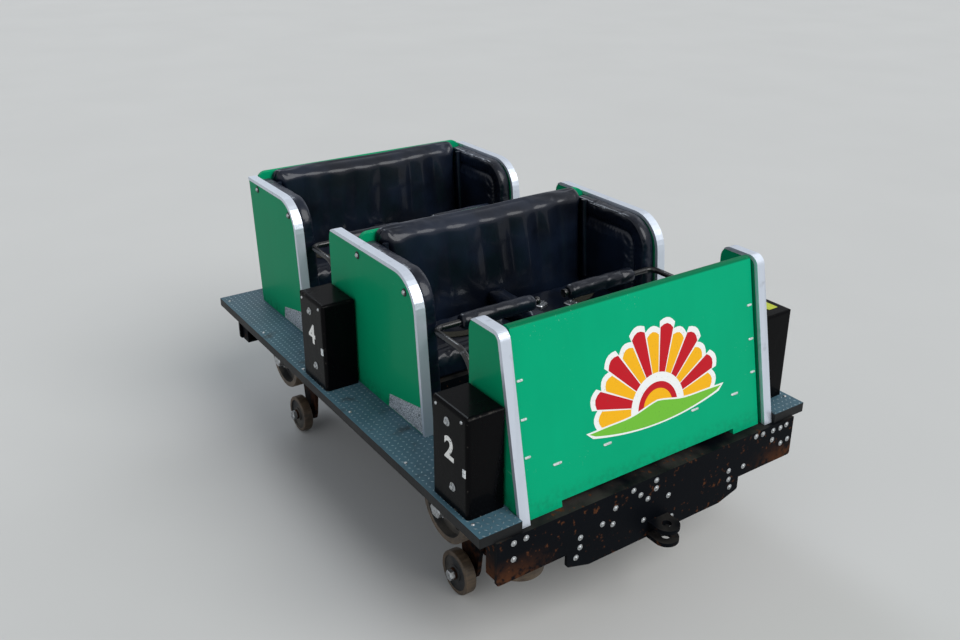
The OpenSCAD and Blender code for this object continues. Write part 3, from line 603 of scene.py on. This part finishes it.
shapes = {name: bmesh.new() for name in paints}
ray_turn = math.pi / ray_count
for i in range(ray_count):
    start = i * ray_turn
    reach = 0.86 + 0.08 * (i % 2)
    paint = "red" if i % 2 else "yellow"
    fan_patch(shapes["white"], start, start + ray_turn, 0.32, reach + 0.07, 0.0003)
    fan_patch(shapes[paint], start + 0.05 * ray_turn, start + 0.95 * ray_turn, 0.42, reach, 0.0006)
half_discs = (("white", 0.36, 0.0005), ("red", 0.31, 0.0007), ("yellow", 0.23, 0.0009))
for paint, reach, lift in half_discs:
    fan_patch(shapes[paint], 0.0, math.pi, 0.0, reach, lift)
plate(shapes["white"], hill_rim(0.300, 0.005), panel_out, 0.0011)
plate(shapes["meadow"], hill_rim(0.288, 0.0), panel_out, 0.0014)
for name, shape in shapes.items():
    fixed(mesh_piece(f"sunburst_{name}", shape, sun_finishes[name]))


# Wings: short plywood boards that close the nose on both sides of the front panel. The front
# lap bars' shafts pass through them.
# The sides' enamel is the panel's green in darker shades: painted shade for boards that face away
# from the light.
enamel_in_painted_shade = green_enamel("side enamel", "#059a6b", "#04885c", 0.06, 0.4)
dress(["wing_left", "wing_right"], enamel_in_painted_shade, 0.002)


# Bench sides: plywood boards with a large round corner, one outside each end of a bench. Domed
# bolts on rubber washers go through to the bench, and a strip of grip sheet guards the foot.
dress([f"side_{row}_{side}" for row in ("front", "rear") for side in outward], enamel_in_painted_shade, 0.002)
bench_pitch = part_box("side_front_right")[1].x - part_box("side_rear_right")[1].x
rubber, place = new_finish("washer rubber")
place.surface({
    "Base Color": grain(place, 80, 4).between("#101113", "#1f2022"),
    "Roughness": 0.55 + 0.2 * grain(place, 50, 3),
})
grip_sheet, place = new_finish("grip sheet")
sand = place.node("TexVoronoi", None, {"Vector": place, "Scale": 520.0})
glints = grain(place, 240, 2).ramp(0.44, 0.58)
worn_sheet = grain(place, 60, 5).ramp(0.58, 0.68) * 0.6
place.surface({
    "Base Color": worn_sheet.between(glints.between("#67727c", "#d3dae2"), "#4c5a58"),
    "Metallic": 0.2,
    "Roughness": 0.45 + 0.35 * sand,
    "Normal": (1 - sand).bump(0.0009),
})
side_bolts = [(0.113, 1.070), (0.440, 1.044), (-0.795, 1.078), (-0.481, 1.050)]
washer_rise = 0.0026
side_low, side_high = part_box("side_front_right")
bench_rake = math.tan(math.radians(5))
for side, out in outward.items():
    face = out * abs(side_low.y)
    places = [(x, face, z) for x, z in side_bolts]
    ring = [(1.0, -0.1), (1.0, 0.12), (0.9, 0.2), (0.0, 0.2)]
    washers = f"side_washers_{side}"
    hardware(washers, [ring], places, 0.014, (0, out, 0), finish=rubber)
    lifted = [(x, face + out * washer_rise, z) for x, z in side_bolts]
    hardware(f"side_bolts_{side}", [dome_head], lifted, 0.0085, (0, out, 0))
    for row, shift, length in (("front", 0.0, 0.232), ("rear", -bench_pitch, 0.206)):
        foot = side_high.x + shift - 0.015
        rim = [
            (foot - length, face, deck_high.z + 0.004), (foot, face, deck_high.z + 0.004),
            (foot - 0.100 * bench_rake, face, deck_high.z + 0.100),
            (foot - length * 0.96, face, deck_high.z + 0.056),
        ]
        sheet = f"grip_sheet_{row}_{side}"
        plates(sheet, [rim], (0, out, 0), 0.0012, 0.0004, grip_sheet)


# Edging: aluminium channel bent round the front and top edges of the wings and bench sides, with
# a satin skin, small dents, and dirt in the corners of its lips.
edging_metal, place = new_finish("edging aluminium")
drawn = grain(place, 260, 2, (0.2, 1, 0.2))
dents = grain(place, 26, 3)
stain = grain(place, 20, 5).ramp(0.60, 0.80) * 0.5
place.surface({
    "Base Color": stain.between("#d2dae6", "#8b9098"),
    "Metallic": 0.6,
    "Roughness": 0.30 + 0.12 * drawn + 0.2 * stain,
    "Normal": (dents + 0.05 * drawn).bump(0.0010),
})
dress(["edge_trims"], edging_metal, 0.0009)


# Bench frames: a seat board on a riser and a tall back board, of the same plywood and enamel as
# the sides, screwed between them. What is under the seat has the frame's black paint.
def skin_of(piece):
    """A piece's faces, ready for a ray to find."""
    mesh = piece.data
    faces = [p.vertices[:] for p in mesh.polygons]
    return BVHTree.FromPolygons([v.co for v in mesh.vertices], faces)


seat_low, seat_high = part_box("seat_cushion_front")
for row in ("front", "rear"):
    name = f"bench_frame_{row}"
    dress([name], enamel_in_painted_shade, 0.003)
    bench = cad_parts[name]
    bench.data.materials.append(frame_paint)
    board_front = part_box(name)[0].x + 0.075
    for polygon in bench.data.polygons:
        below = polygon.center.z < seat_low.z + 0.002
        polygon.material_index = int(below and polygon.center.x > board_front)
    bench_skin = skin_of(bench)
    screws = [(s * 0.494, z) for s in (1, -1) for z in (0.60, 0.72, 0.84, 0.96, 1.06)]
    screws += [(y, 0.705) for y in (-0.36, -0.18, 0.0, 0.18, 0.36)]
    starts = [Vector((board_front - 0.3, y, z)) for y, z in screws]
    hits = [bench_skin.ray_cast(start, Vector((1, 0, 0))) for start in starts]
    hardware(f"back_board_screws_{row}", [dome_head], [hit[0] for hit in hits], 0.0055, hits[0][1])


# Seat cushions: a foam pad for each rider and a bolster between them, sewn into black vinyl with
# a fine leather grain, glossy where riders rub it, and fixed to the seat board.
black_vinyl, place = new_finish("black vinyl")
pores = {"Vector": place, "Scale": 620.0, "Smoothness": 0.4}
leather = place.node("TexVoronoi", {"feature": "SMOOTH_F1"}, pores)
rubbed = grain(place, 5, 4)
wrinkles = grain(place, 30, 4, (1, 1, 0.5))
place.surface({
    "Base Color": rubbed.ramp(0.35, 0.7).between("#070b13", "#111a28"),
    "Roughness": 0.25 + 0.16 * rubbed + 0.06 * leather,
    "Specular IOR Level": 0.22,
    "Coat Weight": 0.30,
    "Coat Roughness": 0.10,
    "Coat Tint": tint("#cfdcff"),
    "Normal": (leather * 0.10 + wrinkles).bump(0.0009),
})


def rounded(corners, step=12):
    """Outline of corners given as (x, z, radius), with an arc for each that has a radius."""
    points = []
    for i, (x, z, radius) in enumerate(corners):
        here = Vector((x, z))
        before = (Vector(corners[i - 1][:2]) - here).normalized()
        after = (Vector(corners[(i + 1) % len(corners)][:2]) - here).normalized()
        half = math.acos(before.dot(after)) / 2
        if not radius:
            points.append(here)
            continue
        centre = here + (before + after).normalized() * (radius / math.sin(half))
        first = here + before * (radius / math.tan(half)) - centre
        last = here + after * (radius / math.tan(half)) - centre
        turn = first.angle_signed(last)
        steps = max(2, math.ceil(math.degrees(abs(turn)) / step))
        points += [centre + first @ Matrix.Rotation(turn * k / steps, 2) for k in range(steps + 1)]
    return points


def made_mesh(piece):
    """The mesh that a piece's modifiers, or its letters, make."""
    seen = piece.evaluated_get(bpy.context.evaluated_depsgraph_get())
    return bpy.data.meshes.new_from_object(seen)


def settle(piece):
    """Turns what a piece's modifiers make of it into its own mesh."""
    made = made_mesh(piece)
    piece.modifiers.clear()
    piece.data = made


def stuffed(name, outline, low, high, held, swell, spare, cell=0.006, form=None, calm=2):
    """Sewn cushion: a block of even cloth, given its form, blown up, and held at some places."""
    shape = bmesh.new()
    skinned(shape, [[(p.x, y, p.y) for p in outline] for y in (low, high)])
    piece = mesh_piece(name, shape, black_vinyl)
    even = piece.modifiers.new("even cloth", "REMESH")
    even.mode = "VOXEL"
    even.voxel_size = cell
    piece.modifiers.new("round edges", "SMOOTH").iterations = 9
    settle(piece)
    if form:
        mesh = piece.data
        normals = [v.normal.copy() for v in mesh.vertices]
        for vertex, normal in zip(mesh.vertices, normals):
            vertex.co += form(vertex.co, normal)
        mesh.update()
    start = [v.co.copy() for v in piece.data.vertices]
    pins = piece.vertex_groups.new(name="held")
    for i, p in enumerate(start):
        pins.add([i], float(held(p)), "REPLACE")
    cloth = piece.modifiers.new("pressure", "CLOTH").settings
    cloth.vertex_group_mass = "held"
    cloth.use_pressure = True
    cloth.uniform_pressure_force = 4.0
    cloth.shrink_min = -spare
    cloth.tension_stiffness = 12
    cloth.compression_stiffness = 12
    cloth.bending_stiffness = 0.6
    cloth.effector_weights.gravity = 0.0
    for step in range(1, 19):
        scene.frame_set(step)
    settle(piece)
    scene.frame_set(1)
    for vertex, p in zip(piece.data.vertices, start):
        moved = vertex.co - p
        if moved.length > swell:
            vertex.co = p + moved.normalized() * swell
    piece.modifiers.new("calm", "SMOOTH").iterations = calm
    settle(piece)
    piece.data.shade_smooth()
    return piece


def upholster(piece, node, body="car"):
    """Gives a finished cushion its place in the car."""
    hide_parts(node)
    fixed(piece, body)


def copied(piece, name, turn):
    """The same piece again in another place."""
    twin = piece.copy()
    twin.data = piece.data.copy()
    twin.name = name
    twin.data.transform(turn)
    if turn.determinant() < 0:
        twin.data.flip_normals()
    scene.collection.objects.link(twin)
    return twin


def swept(shape, points, section):
    """Adds a bar along points; its section's numbers go across the car and square to that."""
    side = Vector((0, 1, 0))
    loops = []
    for i, point in enumerate(points):
        ahead = Vector(points[min(i + 1, len(points) - 1)]) - Vector(points[max(i - 1, 0)])
        across = (side - ahead * (side.dot(ahead) / ahead.length_squared)).normalized()
        up = ahead.normalized().cross(across)
        loops.append([Vector(point) + across * a + up * b for a, b in section])
    skinned(shape, loops)


def piping(name, lines, radius=0.0042):
    """Welt cord sewn into seams."""
    shape = bmesh.new()
    for line in lines:
        swept(shape, line, round_section(radius))
    fixed(mesh_piece(name, shape, black_vinyl, 60))


row_shift = Matrix.Translation((-bench_pitch, 0, 0))
mirror = Matrix.Diagonal((1, -1, 1, 1))


def both_rows(pieces, node):
    """The front bench's pieces in place, and their copies on the rear bench."""
    for piece in pieces:
        rear = copied(piece, piece.name.replace("front", "rear"), row_shift)
        upholster(piece, f"{node}_front")
        upholster(rear, f"{node}_rear")


seat_top = seat_low.z + 0.090
bolster_half = 0.035
pad_inner = bolster_half + 0.002
pad_outer = seat_high.y - 0.003
pad_front = seat_high.x - 0.024
pad_rear = seat_low.x + 0.012


def seat_crown(p, normal):
    """Fuller in the middle, with the dip that sitting leaves, and a seam behind the front roll."""
    across = (abs(p.y) - pad_inner) / (pad_outer - pad_inner)
    along = (p.x - pad_rear) / (pad_front - pad_rear)
    crown = 0.010 * math.sin(math.pi * min(max(across, 0), 1)) ** 0.6
    dip = 0.014 * math.exp(-((across - 0.5) / 0.30) ** 2 - ((along - 0.38) / 0.30) ** 2)
    seam = 0.008 * math.exp(-((along - 0.80) / 0.022) ** 2)
    return Vector((0, 0, (crown - dip - seam - 0.004) if normal.z > 0.4 else 0))


pad_outline = rounded([
    (pad_rear, seat_low.z + 0.003, 0.010), (pad_front - 0.006, seat_low.z + 0.003, 0.014),
    (pad_front - 0.006, seat_top - 0.006, 0.030), (pad_rear, seat_top - 0.006, 0.020),
])
seat_right = stuffed(
    "seat_pad_front_right", pad_outline, -pad_outer, -pad_inner,
    lambda p: p.z < seat_low.z + 0.010, 0.012, 0.03, form=seat_crown,
)
bolster_outline = rounded([
    (seat_low.x + 0.012, seat_top - 0.020, 0.006), (seat_high.x - 0.004, seat_top - 0.020, 0.006),
    (seat_high.x - 0.004, seat_high.z - 0.004, 0.036),
    (seat_low.x + 0.006, seat_high.z - 0.004, 0.012),
])
bolster = stuffed(
    "seat_bolster_front", bolster_outline, -bolster_half, bolster_half,
    lambda p: p.z < seat_top - 0.004, 0.006, 0.02,
)
seat_left = copied(seat_right, "seat_pad_front_left", mirror)
both_rows((seat_right, seat_left, bolster), "seat_cushion")


# Back cushions: one long pad across each bench, stapled to the back board round its rim. The
# cover has slackened into broad upright folds, and both ends turn back into the corners.
back_low, back_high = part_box("back_cushion_front")
back_rake = math.tan(math.radians(4.5))
back_thick = 0.080
back_half = back_high.y - 0.004
back_end_turn = 0.034
fold_places = [
    (-0.385, 0.030, 0.0060), (-0.315, 0.022, -0.0045), (-0.255, 0.028, 0.0050),
    (-0.190, 0.018, -0.0040), (-0.110, 0.040, 0.0055), (-0.030, 0.022, -0.0050),
    (0.035, 0.026, 0.0045), (0.100, 0.020, -0.0045), (0.165, 0.030, 0.0055),
    (0.225, 0.018, -0.0045), (0.280, 0.024, 0.0055), (0.330, 0.016, -0.0060),
]


def back_face(z):
    return back_high.x - (z - back_low.z) * back_rake


def back_folds(p, normal):
    """Upright folds, a flat crown, ends that turn back, and a top edge that waves and drops."""
    share = min(max((p.z - back_low.z) / (back_high.z - back_low.z), 0), 1)
    turned_back = max(0, abs(p.y) - back_half + back_end_turn) / back_end_turn
    drop = 0.030 * (1 - math.sqrt(max(0, 1 - turned_back ** 2)))
    drop = drop + 0.002 + 0.002 * math.sin(11 * p.y + 2)
    rise = -drop * max(0, (share - 0.75) / 0.25)
    if p.x < back_face(p.z) - 0.5 * back_thick:
        return Vector((0, 0, rise))
    lean = 0.05 * math.sin(5 * p.y + 1) * (share - 0.5)
    depth = sum(a * math.exp(-((p.y + lean - y) / w) ** 2) for y, w, a in fold_places)
    depth *= math.sin(math.pi * share ** 1.3)
    crown = 0.008 * math.sin(math.pi * share) * max(0, 1 - (p.y / back_half) ** 4)
    return Vector((depth + crown - 0.008 - 0.014 * turned_back ** 2, 0, rise))


back_foot_x, back_crest_x = back_face(back_low.z), back_face(back_high.z)
back_outline = rounded([
    (back_foot_x - back_thick + 0.002, back_low.z + 0.002, 0.010),
    (back_foot_x - 0.006, back_low.z + 0.002, 0.016),
    (back_crest_x - 0.006, back_high.z - 0.004, 0.036),
    (back_crest_x - back_thick + 0.003, back_high.z - 0.004, 0.016),
])
back = stuffed(
    "back_pad_front", back_outline, -back_half, back_half,
    lambda p: p.x < back_face(p.z) - back_thick + 0.016, 0.010, 0.004, form=back_folds, calm=6,
)
backs = [("front", back, 0.009), ("rear", copied(back, "back_pad_rear", row_shift @ mirror), 0.018)]
for row, back, proud in backs:
    node = f"back_cushion_{row}"
    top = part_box(node)[1].z + proud
    pad_top = max(v.co.z for v in back.data.vertices)
    about = Matrix.Translation((0, 0, back_low.z))
    fitted = Matrix.Scale((top - back_low.z) / (pad_top - back_low.z), 4, (0, 0, 1))
    back.data.transform(about @ fitted @ about.inverted())
    upholster(back, node)
    shift = back_low.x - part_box(node)[0].x
    heights = [seat_top + 0.004 + (top - seat_top - 0.045) * i / 12 for i in range(13)]
    corners = [
        [(back_face(z) - shift, s * (back_half - 0.004), z) for z in heights] for s in (1, -1)
    ]
    piping(f"corner_rolls_{row}", corners, 0.011)


# Seat belts: woven straps that come up between the seat and back cushions. The long one of each
# rider ends in a steel tongue, and the short one beside the bolster holds the buckle.
webbing, place = new_finish("belt webbing")
rib_bands = {"Vector": place, "Scale": 110.0, "Distortion": 1.0, "Detail": 2.0}
ribs = place.node("TexWave", {"wave_type": "BANDS", "bands_direction": "X"}, rib_bands)
place.surface({
    "Base Color": (0.6 * ribs + 0.4 * grain(place, 18, 4)).between("#0e0e0b", "#3a3726"),
    "Roughness": 0.6 + 0.2 * ribs,
    "Normal": ribs.bump(0.0006),
})
buckle_chrome, place = new_finish("buckle chrome")
smudges = grain(place, 60, 4)
place.surface({
    "Base Color": smudges.between("#d5d8dc", "#a9adb2"),
    "Metallic": 0.9,
    "Roughness": 0.16 + 0.25 * smudges,
})
strap_width = 0.046
strap_half_thick = 0.0008
strap_section = [
    (a * strap_width / 2, b * strap_half_thick) for a, b in ((-1, -1), (1, -1), (1, 1), (-1, 1))
]
pad_skin = skin_of(seat_right)


def lying(start, turn, end, lift=0.0030, count=14):
    """A line out of the gap behind the right seat pad, and over it to end by way of turn."""
    line = [Vector((pad_rear - 0.003, start[1], seat_top - 0.040))]
    for i in range(count):
        share = i / (count - 1)
        first = Vector(start).lerp(Vector(turn), share)
        flat = first.lerp(Vector(turn).lerp(Vector(end), share), share)
        skin = pad_skin.ray_cast(Vector((flat.x, flat.y, 2.0)), Vector((0, 0, -1)))[0]
        line.append(Vector((flat.x, flat.y, skin.z + lift)))
    return line


def belt(name, line, fitting_size, fitting_thick, flap):
    """A strap along a line, and the steel fitting on its end."""
    shape = bmesh.new()
    swept(shape, line, strap_section)
    strap = mesh_piece(f"strap_{name}", shape, webbing)
    along = (line[-1] - line[-3]).normalized()
    across = Vector((-along.y, along.x, 0)).normalized()
    out = along.cross(across)
    length, width = fitting_size
    middle = line[-1] + along * (0.42 * length)
    shape = bmesh.new()
    rim = oblong(middle, along, across, length, width, 0.009)
    plate(shape, rim, out, fitting_thick, 0.003)
    plate(shape, rim, -out, 0.0022, 0.0008)
    if flap:
        lid = middle - along * (0.06 * length) + out * (fitting_thick - 0.001)
        lid_out = (out - 0.10 * along).normalized()
        lid_along = across.cross(lid_out)
        lid_rim = oblong(lid, lid_along, across, 0.72 * length, 0.84 * width, 0.006)
        plate(shape, lid_rim, lid_out, 0.004, 0.001)
    else:
        rivets = [middle - along * (0.25 * length) + across * (s * 0.25 * width) for s in (1, -1)]
        for rivet in rivets:
            turned(shape, dome_head, 0.0035, rivet + out * fitting_thick, out)
    fitting = mesh_piece(f"fitting_{name}", shape, buckle_chrome, 30)
    return strap, fitting


gap = pad_rear + 0.010
short_line = lying((gap, -0.078), (gap + 0.06, -0.075), (gap + 0.100, -0.092))
long_line = lying((gap, -0.405), (gap + 0.16, -0.375), (gap + 0.180, -0.235))
belts = belt("buckle_2", short_line, (0.062, 0.050), 0.011, True)
belts += belt("tongue_2", long_line, (0.046, 0.052), 0.0030, False)
other_seats = {1: mirror, 4: row_shift, 3: row_shift @ mirror}
for piece in belts:
    kind = piece.name[:-2]
    others = [copied(piece, f"{kind}_{n}", turn) for n, turn in other_seats.items()]
    for each in (piece, *others):
        fixed(each)


# Side cushions: pads inside the bench sides, from the deck up. A fat roll follows the board's
# front and top edge, gathered along its seam, with piping on the roll's inner edge.
side_pad_low, side_pad_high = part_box("side_cushions_front")
side_pad_top = side_pad_high.z
side_inner = side_pad_high.y - 0.050
roll_width = 0.046


def side_outline(inset):
    """Outline of a side cushion, drawn in by a distance at its front and top."""
    foot, top = side_pad_low.z + 0.002, side_pad_top - inset
    front = side_pad_high.x - inset / math.cos(math.radians(5))
    height = side_pad_top - side_pad_low.z
    return [
        (front, foot, 0.0), (front - (top - foot) * bench_rake, top, 0.101 - inset),
        (side_pad_low.x + 0.004, top, 0.018 if inset < 0.018 else 0.0),
        (side_pad_low.x + height * back_rake, foot, 0.0),
    ]


def open_line(inset):
    """The front and top run of that outline, as a line from the deck to the back cushion."""
    return rounded(side_outline(inset), 8)[:-1]


seam_line = open_line(roll_width)


def from_line(p, line):
    """Distance of a place from a line drawn in x and z, and how far along the line it is."""
    here = Vector((p.x, p.z))
    best, run = (9.0, 0.0), 0.0
    for a, b in zip(line, line[1:]):
        share = min(max((here - a).dot(b - a) / (b - a).length_squared, 0), 1)
        best = min(best, ((here - a.lerp(b, share)).length, run + share * (b - a).length))
        run += (b - a).length
    return best


def side_held(p):
    """Held flat against the board, and along the roll's seam."""
    if abs(p.y) > side_pad_high.y - 0.012:
        return True
    return abs(p.y) < side_inner + 0.02 and from_line(p, seam_line)[0] < 0.004


def side_roll(p, normal):
    """A valley at the seam with small gathers beside it, a full roll, and a crowned panel."""
    if abs(p.y) > side_inner + 0.022:
        return Vector()
    gap, run = from_line(p, seam_line)
    valley = 0.009 * math.exp(-(gap / 0.008) ** 2)
    gathers = 0.0016 * math.sin(run / 0.0175 * 2 * math.pi)
    gathers = gathers * math.exp(-((gap - 0.012) / 0.010) ** 2)
    return Vector((0, gathers + 0.001 - valley, 0))


side_right = stuffed(
    "side_pad_front_right", rounded(side_outline(-0.018)), 0.002 - side_pad_high.y, -side_inner,
    side_held, 0.009, 0.02, cell=0.005, form=side_roll, calm=3,
)
side_left = copied(side_right, "side_pad_front_left", mirror)
both_rows((side_right, side_left), "side_cushions")
welt = open_line(-0.007)
for row, shift in (("front", 0.0), ("rear", -bench_pitch)):
    lines = [[(p.x + shift, s * (side_inner + 0.002), p.y) for p in welt] for s in (1, -1)]
    piping(f"side_piping_{row}", lines)


# Lap bar boxes: folded steel boxes bolted to the deck outside the boards, with thick black gloss
# paint, chipped along the edges. Each shows its pivot's bolt, its screws and its number.
box_gloss, place = new_finish("box gloss")
generated = place.node("TexCoord", output="Generated")
near_x, near_y, near_z = (
    abs(generated.axis(name) - 0.5).ramp(0.5 - width, 0.5)
    for name, width in (("X", 0.040), ("Y", 0.055), ("Z", 0.022))
)
edges = (near_x * near_y) | (near_x * near_z) | (near_y * near_z)
chips = edges * (grain(place, 70, 5) + 0.5 * grain(place, 9, 2)).ramp(0.84, 0.92)
smears = grain(place, 12, 5, (1, 1, 0.3))
box_colour = smears.between("#020203", "#070709")
place.surface({
    "Base Color": chips.between(box_colour, "#6f6a63"),
    "Roughness": 0.18 + 0.20 * smears + 0.3 * chips,
    "Specular IOR Level": 0.03,
    "Coat Weight": 0.07,
    "Coat Roughness": 0.06,
    "Normal": (grain(place, 30, 3) + 0.25 * grain(place, 300, 2) - chips).bump(0.0005),
})

number_paint, place = new_finish("number paint")
rubbed_off = grain(place, 150, 5).ramp(0.60, 0.70)
place.surface({
    "Base Color": rubbed_off.between("#f2f2ee", "#8d8f8e"),
    "Roughness": 0.45 + 0.2 * rubbed_off,
})
number_height = 0.074
capital_share = 0.72


def painted_number(digit, middle, out):
    """The box's number round a place on its outer face, drawn with the built-in letters."""
    curve = bpy.data.curves.new(f"number_{digit}", "FONT")
    curve.body = str(digit)
    curve.size = number_height / capital_share
    curve.align_x = "CENTER"
    curve.align_y = "CENTER"
    curve.offset = 0.0030
    curve.extrude = 0.0005
    drawn = added("drawn number", curve)
    mesh = made_mesh(drawn)
    bpy.data.objects.remove(drawn)
    stand = Matrix(((-out, 0, 0), (0, 0, out), (0, 1, 0))).to_4x4()
    mesh.transform(Matrix.Translation(middle) @ stand)
    mesh.materials.clear()
    mesh.materials.append(number_paint)
    fixed(added(f"box_number_{digit}", mesh))


for digit in (1, 2, 3, 4):
    dress([f"lap_bar_box_{digit}"], box_gloss, 0.002)
    low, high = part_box(f"lap_bar_box_{digit}")
    out = 1 if digit % 2 else -1
    face = high.y if out > 0 else low.y
    painted_number(digit, ((low.x + high.x) / 2, face, low.z + 0.195), out)
    bolts = [(high.x - 0.080, face, low.z + 0.076), (high.x - 0.107, face, low.z + 0.285)]
    screws = [(low.x + 0.028, face, high.z - 0.022), (high.x - 0.030, face, high.z - 0.022)]
    facing = (0, out, 0)
    hardware(f"box_bolts_{digit}", [washer, hex_head], bolts, 0.0085, facing)
    hardware(f"box_screws_{digit}", [dome_head], screws, 0.0055, facing)
    tab = [(high.x - 0.010, face, low.z + h) for h in (0.143, 0.169)]
    tab += [(high.x - 0.023, face, low.z + h) for h in (0.169, 0.143)]
    plates(f"box_tab_{digit}", [tab], facing, 0.003, 0.0008, zinc)


label_print, place = new_finish("blank label")
place.surface({
    "Base Color": grain(place, 90, 4).between("#c9d02c", "#9fa636"),
    "Roughness": 0.4 + 0.2 * grain(place, 40, 3),
})
label_middle = middle_of("lap_bar_box_1") + Vector((0.020, 0.012, 0))
label_middle.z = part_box("lap_bar_box_1")[1].z
label_rim = oblong(label_middle, Vector((1, 0, 0)), Vector((0, 1, 0)), 0.080, 0.045, 0.004)
plates("box_label_1", [label_rim], (0, 0, 1), 0.0005, 0.0, label_print)


# Lap bars: bent steel tube on a shaft that goes through the board into the box, painted black
# and rubbed to bare metal where hands pull it.
bar_steel, place = new_finish("bar steel")
rub = (grain(place, 22, 5) + 0.5 * grain(place, 90, 3)).ramp(0.86, 1.05)
place.surface({
    "Base Color": rub.between("#090a0c", "#7f8286"),
    "Metallic": 0.1 + 0.75 * rub,
    "Roughness": 0.22 + 0.14 * grain(place, 40, 3),
    "Coat Weight": 0.2,
    "Coat Roughness": 0.08,
    "Normal": (grain(place, 200, 2) - rub).bump(0.0003),
})
dress([f"lap_bar_{n}" for n in (1, 2, 3, 4)], bar_steel, 0.001)


# Lap bar sleeves: a roll of foam round each bar's cross tube, in a vinyl cover that is laced shut
# along its underside and gathered at both ends.
sleeve_low, sleeve_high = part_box("lap_pad_2")
sleeve_middle = middle_of("lap_pad_2")
sleeve_radius = (sleeve_high.z - sleeve_low.z) / 2 - 0.003
sleeve_outline = [
    Vector((sleeve_middle.x + a, sleeve_middle.z + b)) for a, b in round_section(sleeve_radius, 24)
]


def from_end(p):
    return min(p.y - sleeve_low.y, sleeve_high.y - p.y)


def sleeve_held(p):
    underside = p.z < sleeve_middle.z - 0.6 * sleeve_radius
    return from_end(p) < 0.008 or (underside and abs(p.x - sleeve_middle.x) < 0.004)


def sleeve_form(p, normal):
    """Ends drawn in with small gathers, a laced seam below, and shallow rings where it creases."""
    radial = Vector((p.x - sleeve_middle.x, 0, p.z - sleeve_middle.z))
    angle = math.atan2(radial.z, radial.x)
    near_end = max(0, 1 - from_end(p) / 0.020)
    drawn_in = 0.008 * near_end ** 2 + 0.0010 * near_end * math.sin(16 * angle)
    seam = 0.0035 * math.exp(-((angle + math.pi / 2) / 0.14) ** 2)
    seam = seam * (1 + 0.3 * math.sin(p.y / 0.0016))
    rings = 0.0005 * math.sin(p.y / 0.013 + math.sin(angle))
    return -radial.normalized() * (drawn_in + seam + rings)


sleeve = stuffed(
    "lap_sleeve_2", sleeve_outline, sleeve_low.y + 0.001, sleeve_high.y - 0.001,
    sleeve_held, 0.0030, 0.008, cell=0.005, form=sleeve_form, calm=5,
)
sleeves = {2: sleeve}
for n, turn in other_seats.items():
    sleeves[n] = copied(sleeve, f"lap_sleeve_{n}", turn)
for n, piece in sleeves.items():
    upholster(piece, f"lap_pad_{n}", f"lap_bar_{n}")
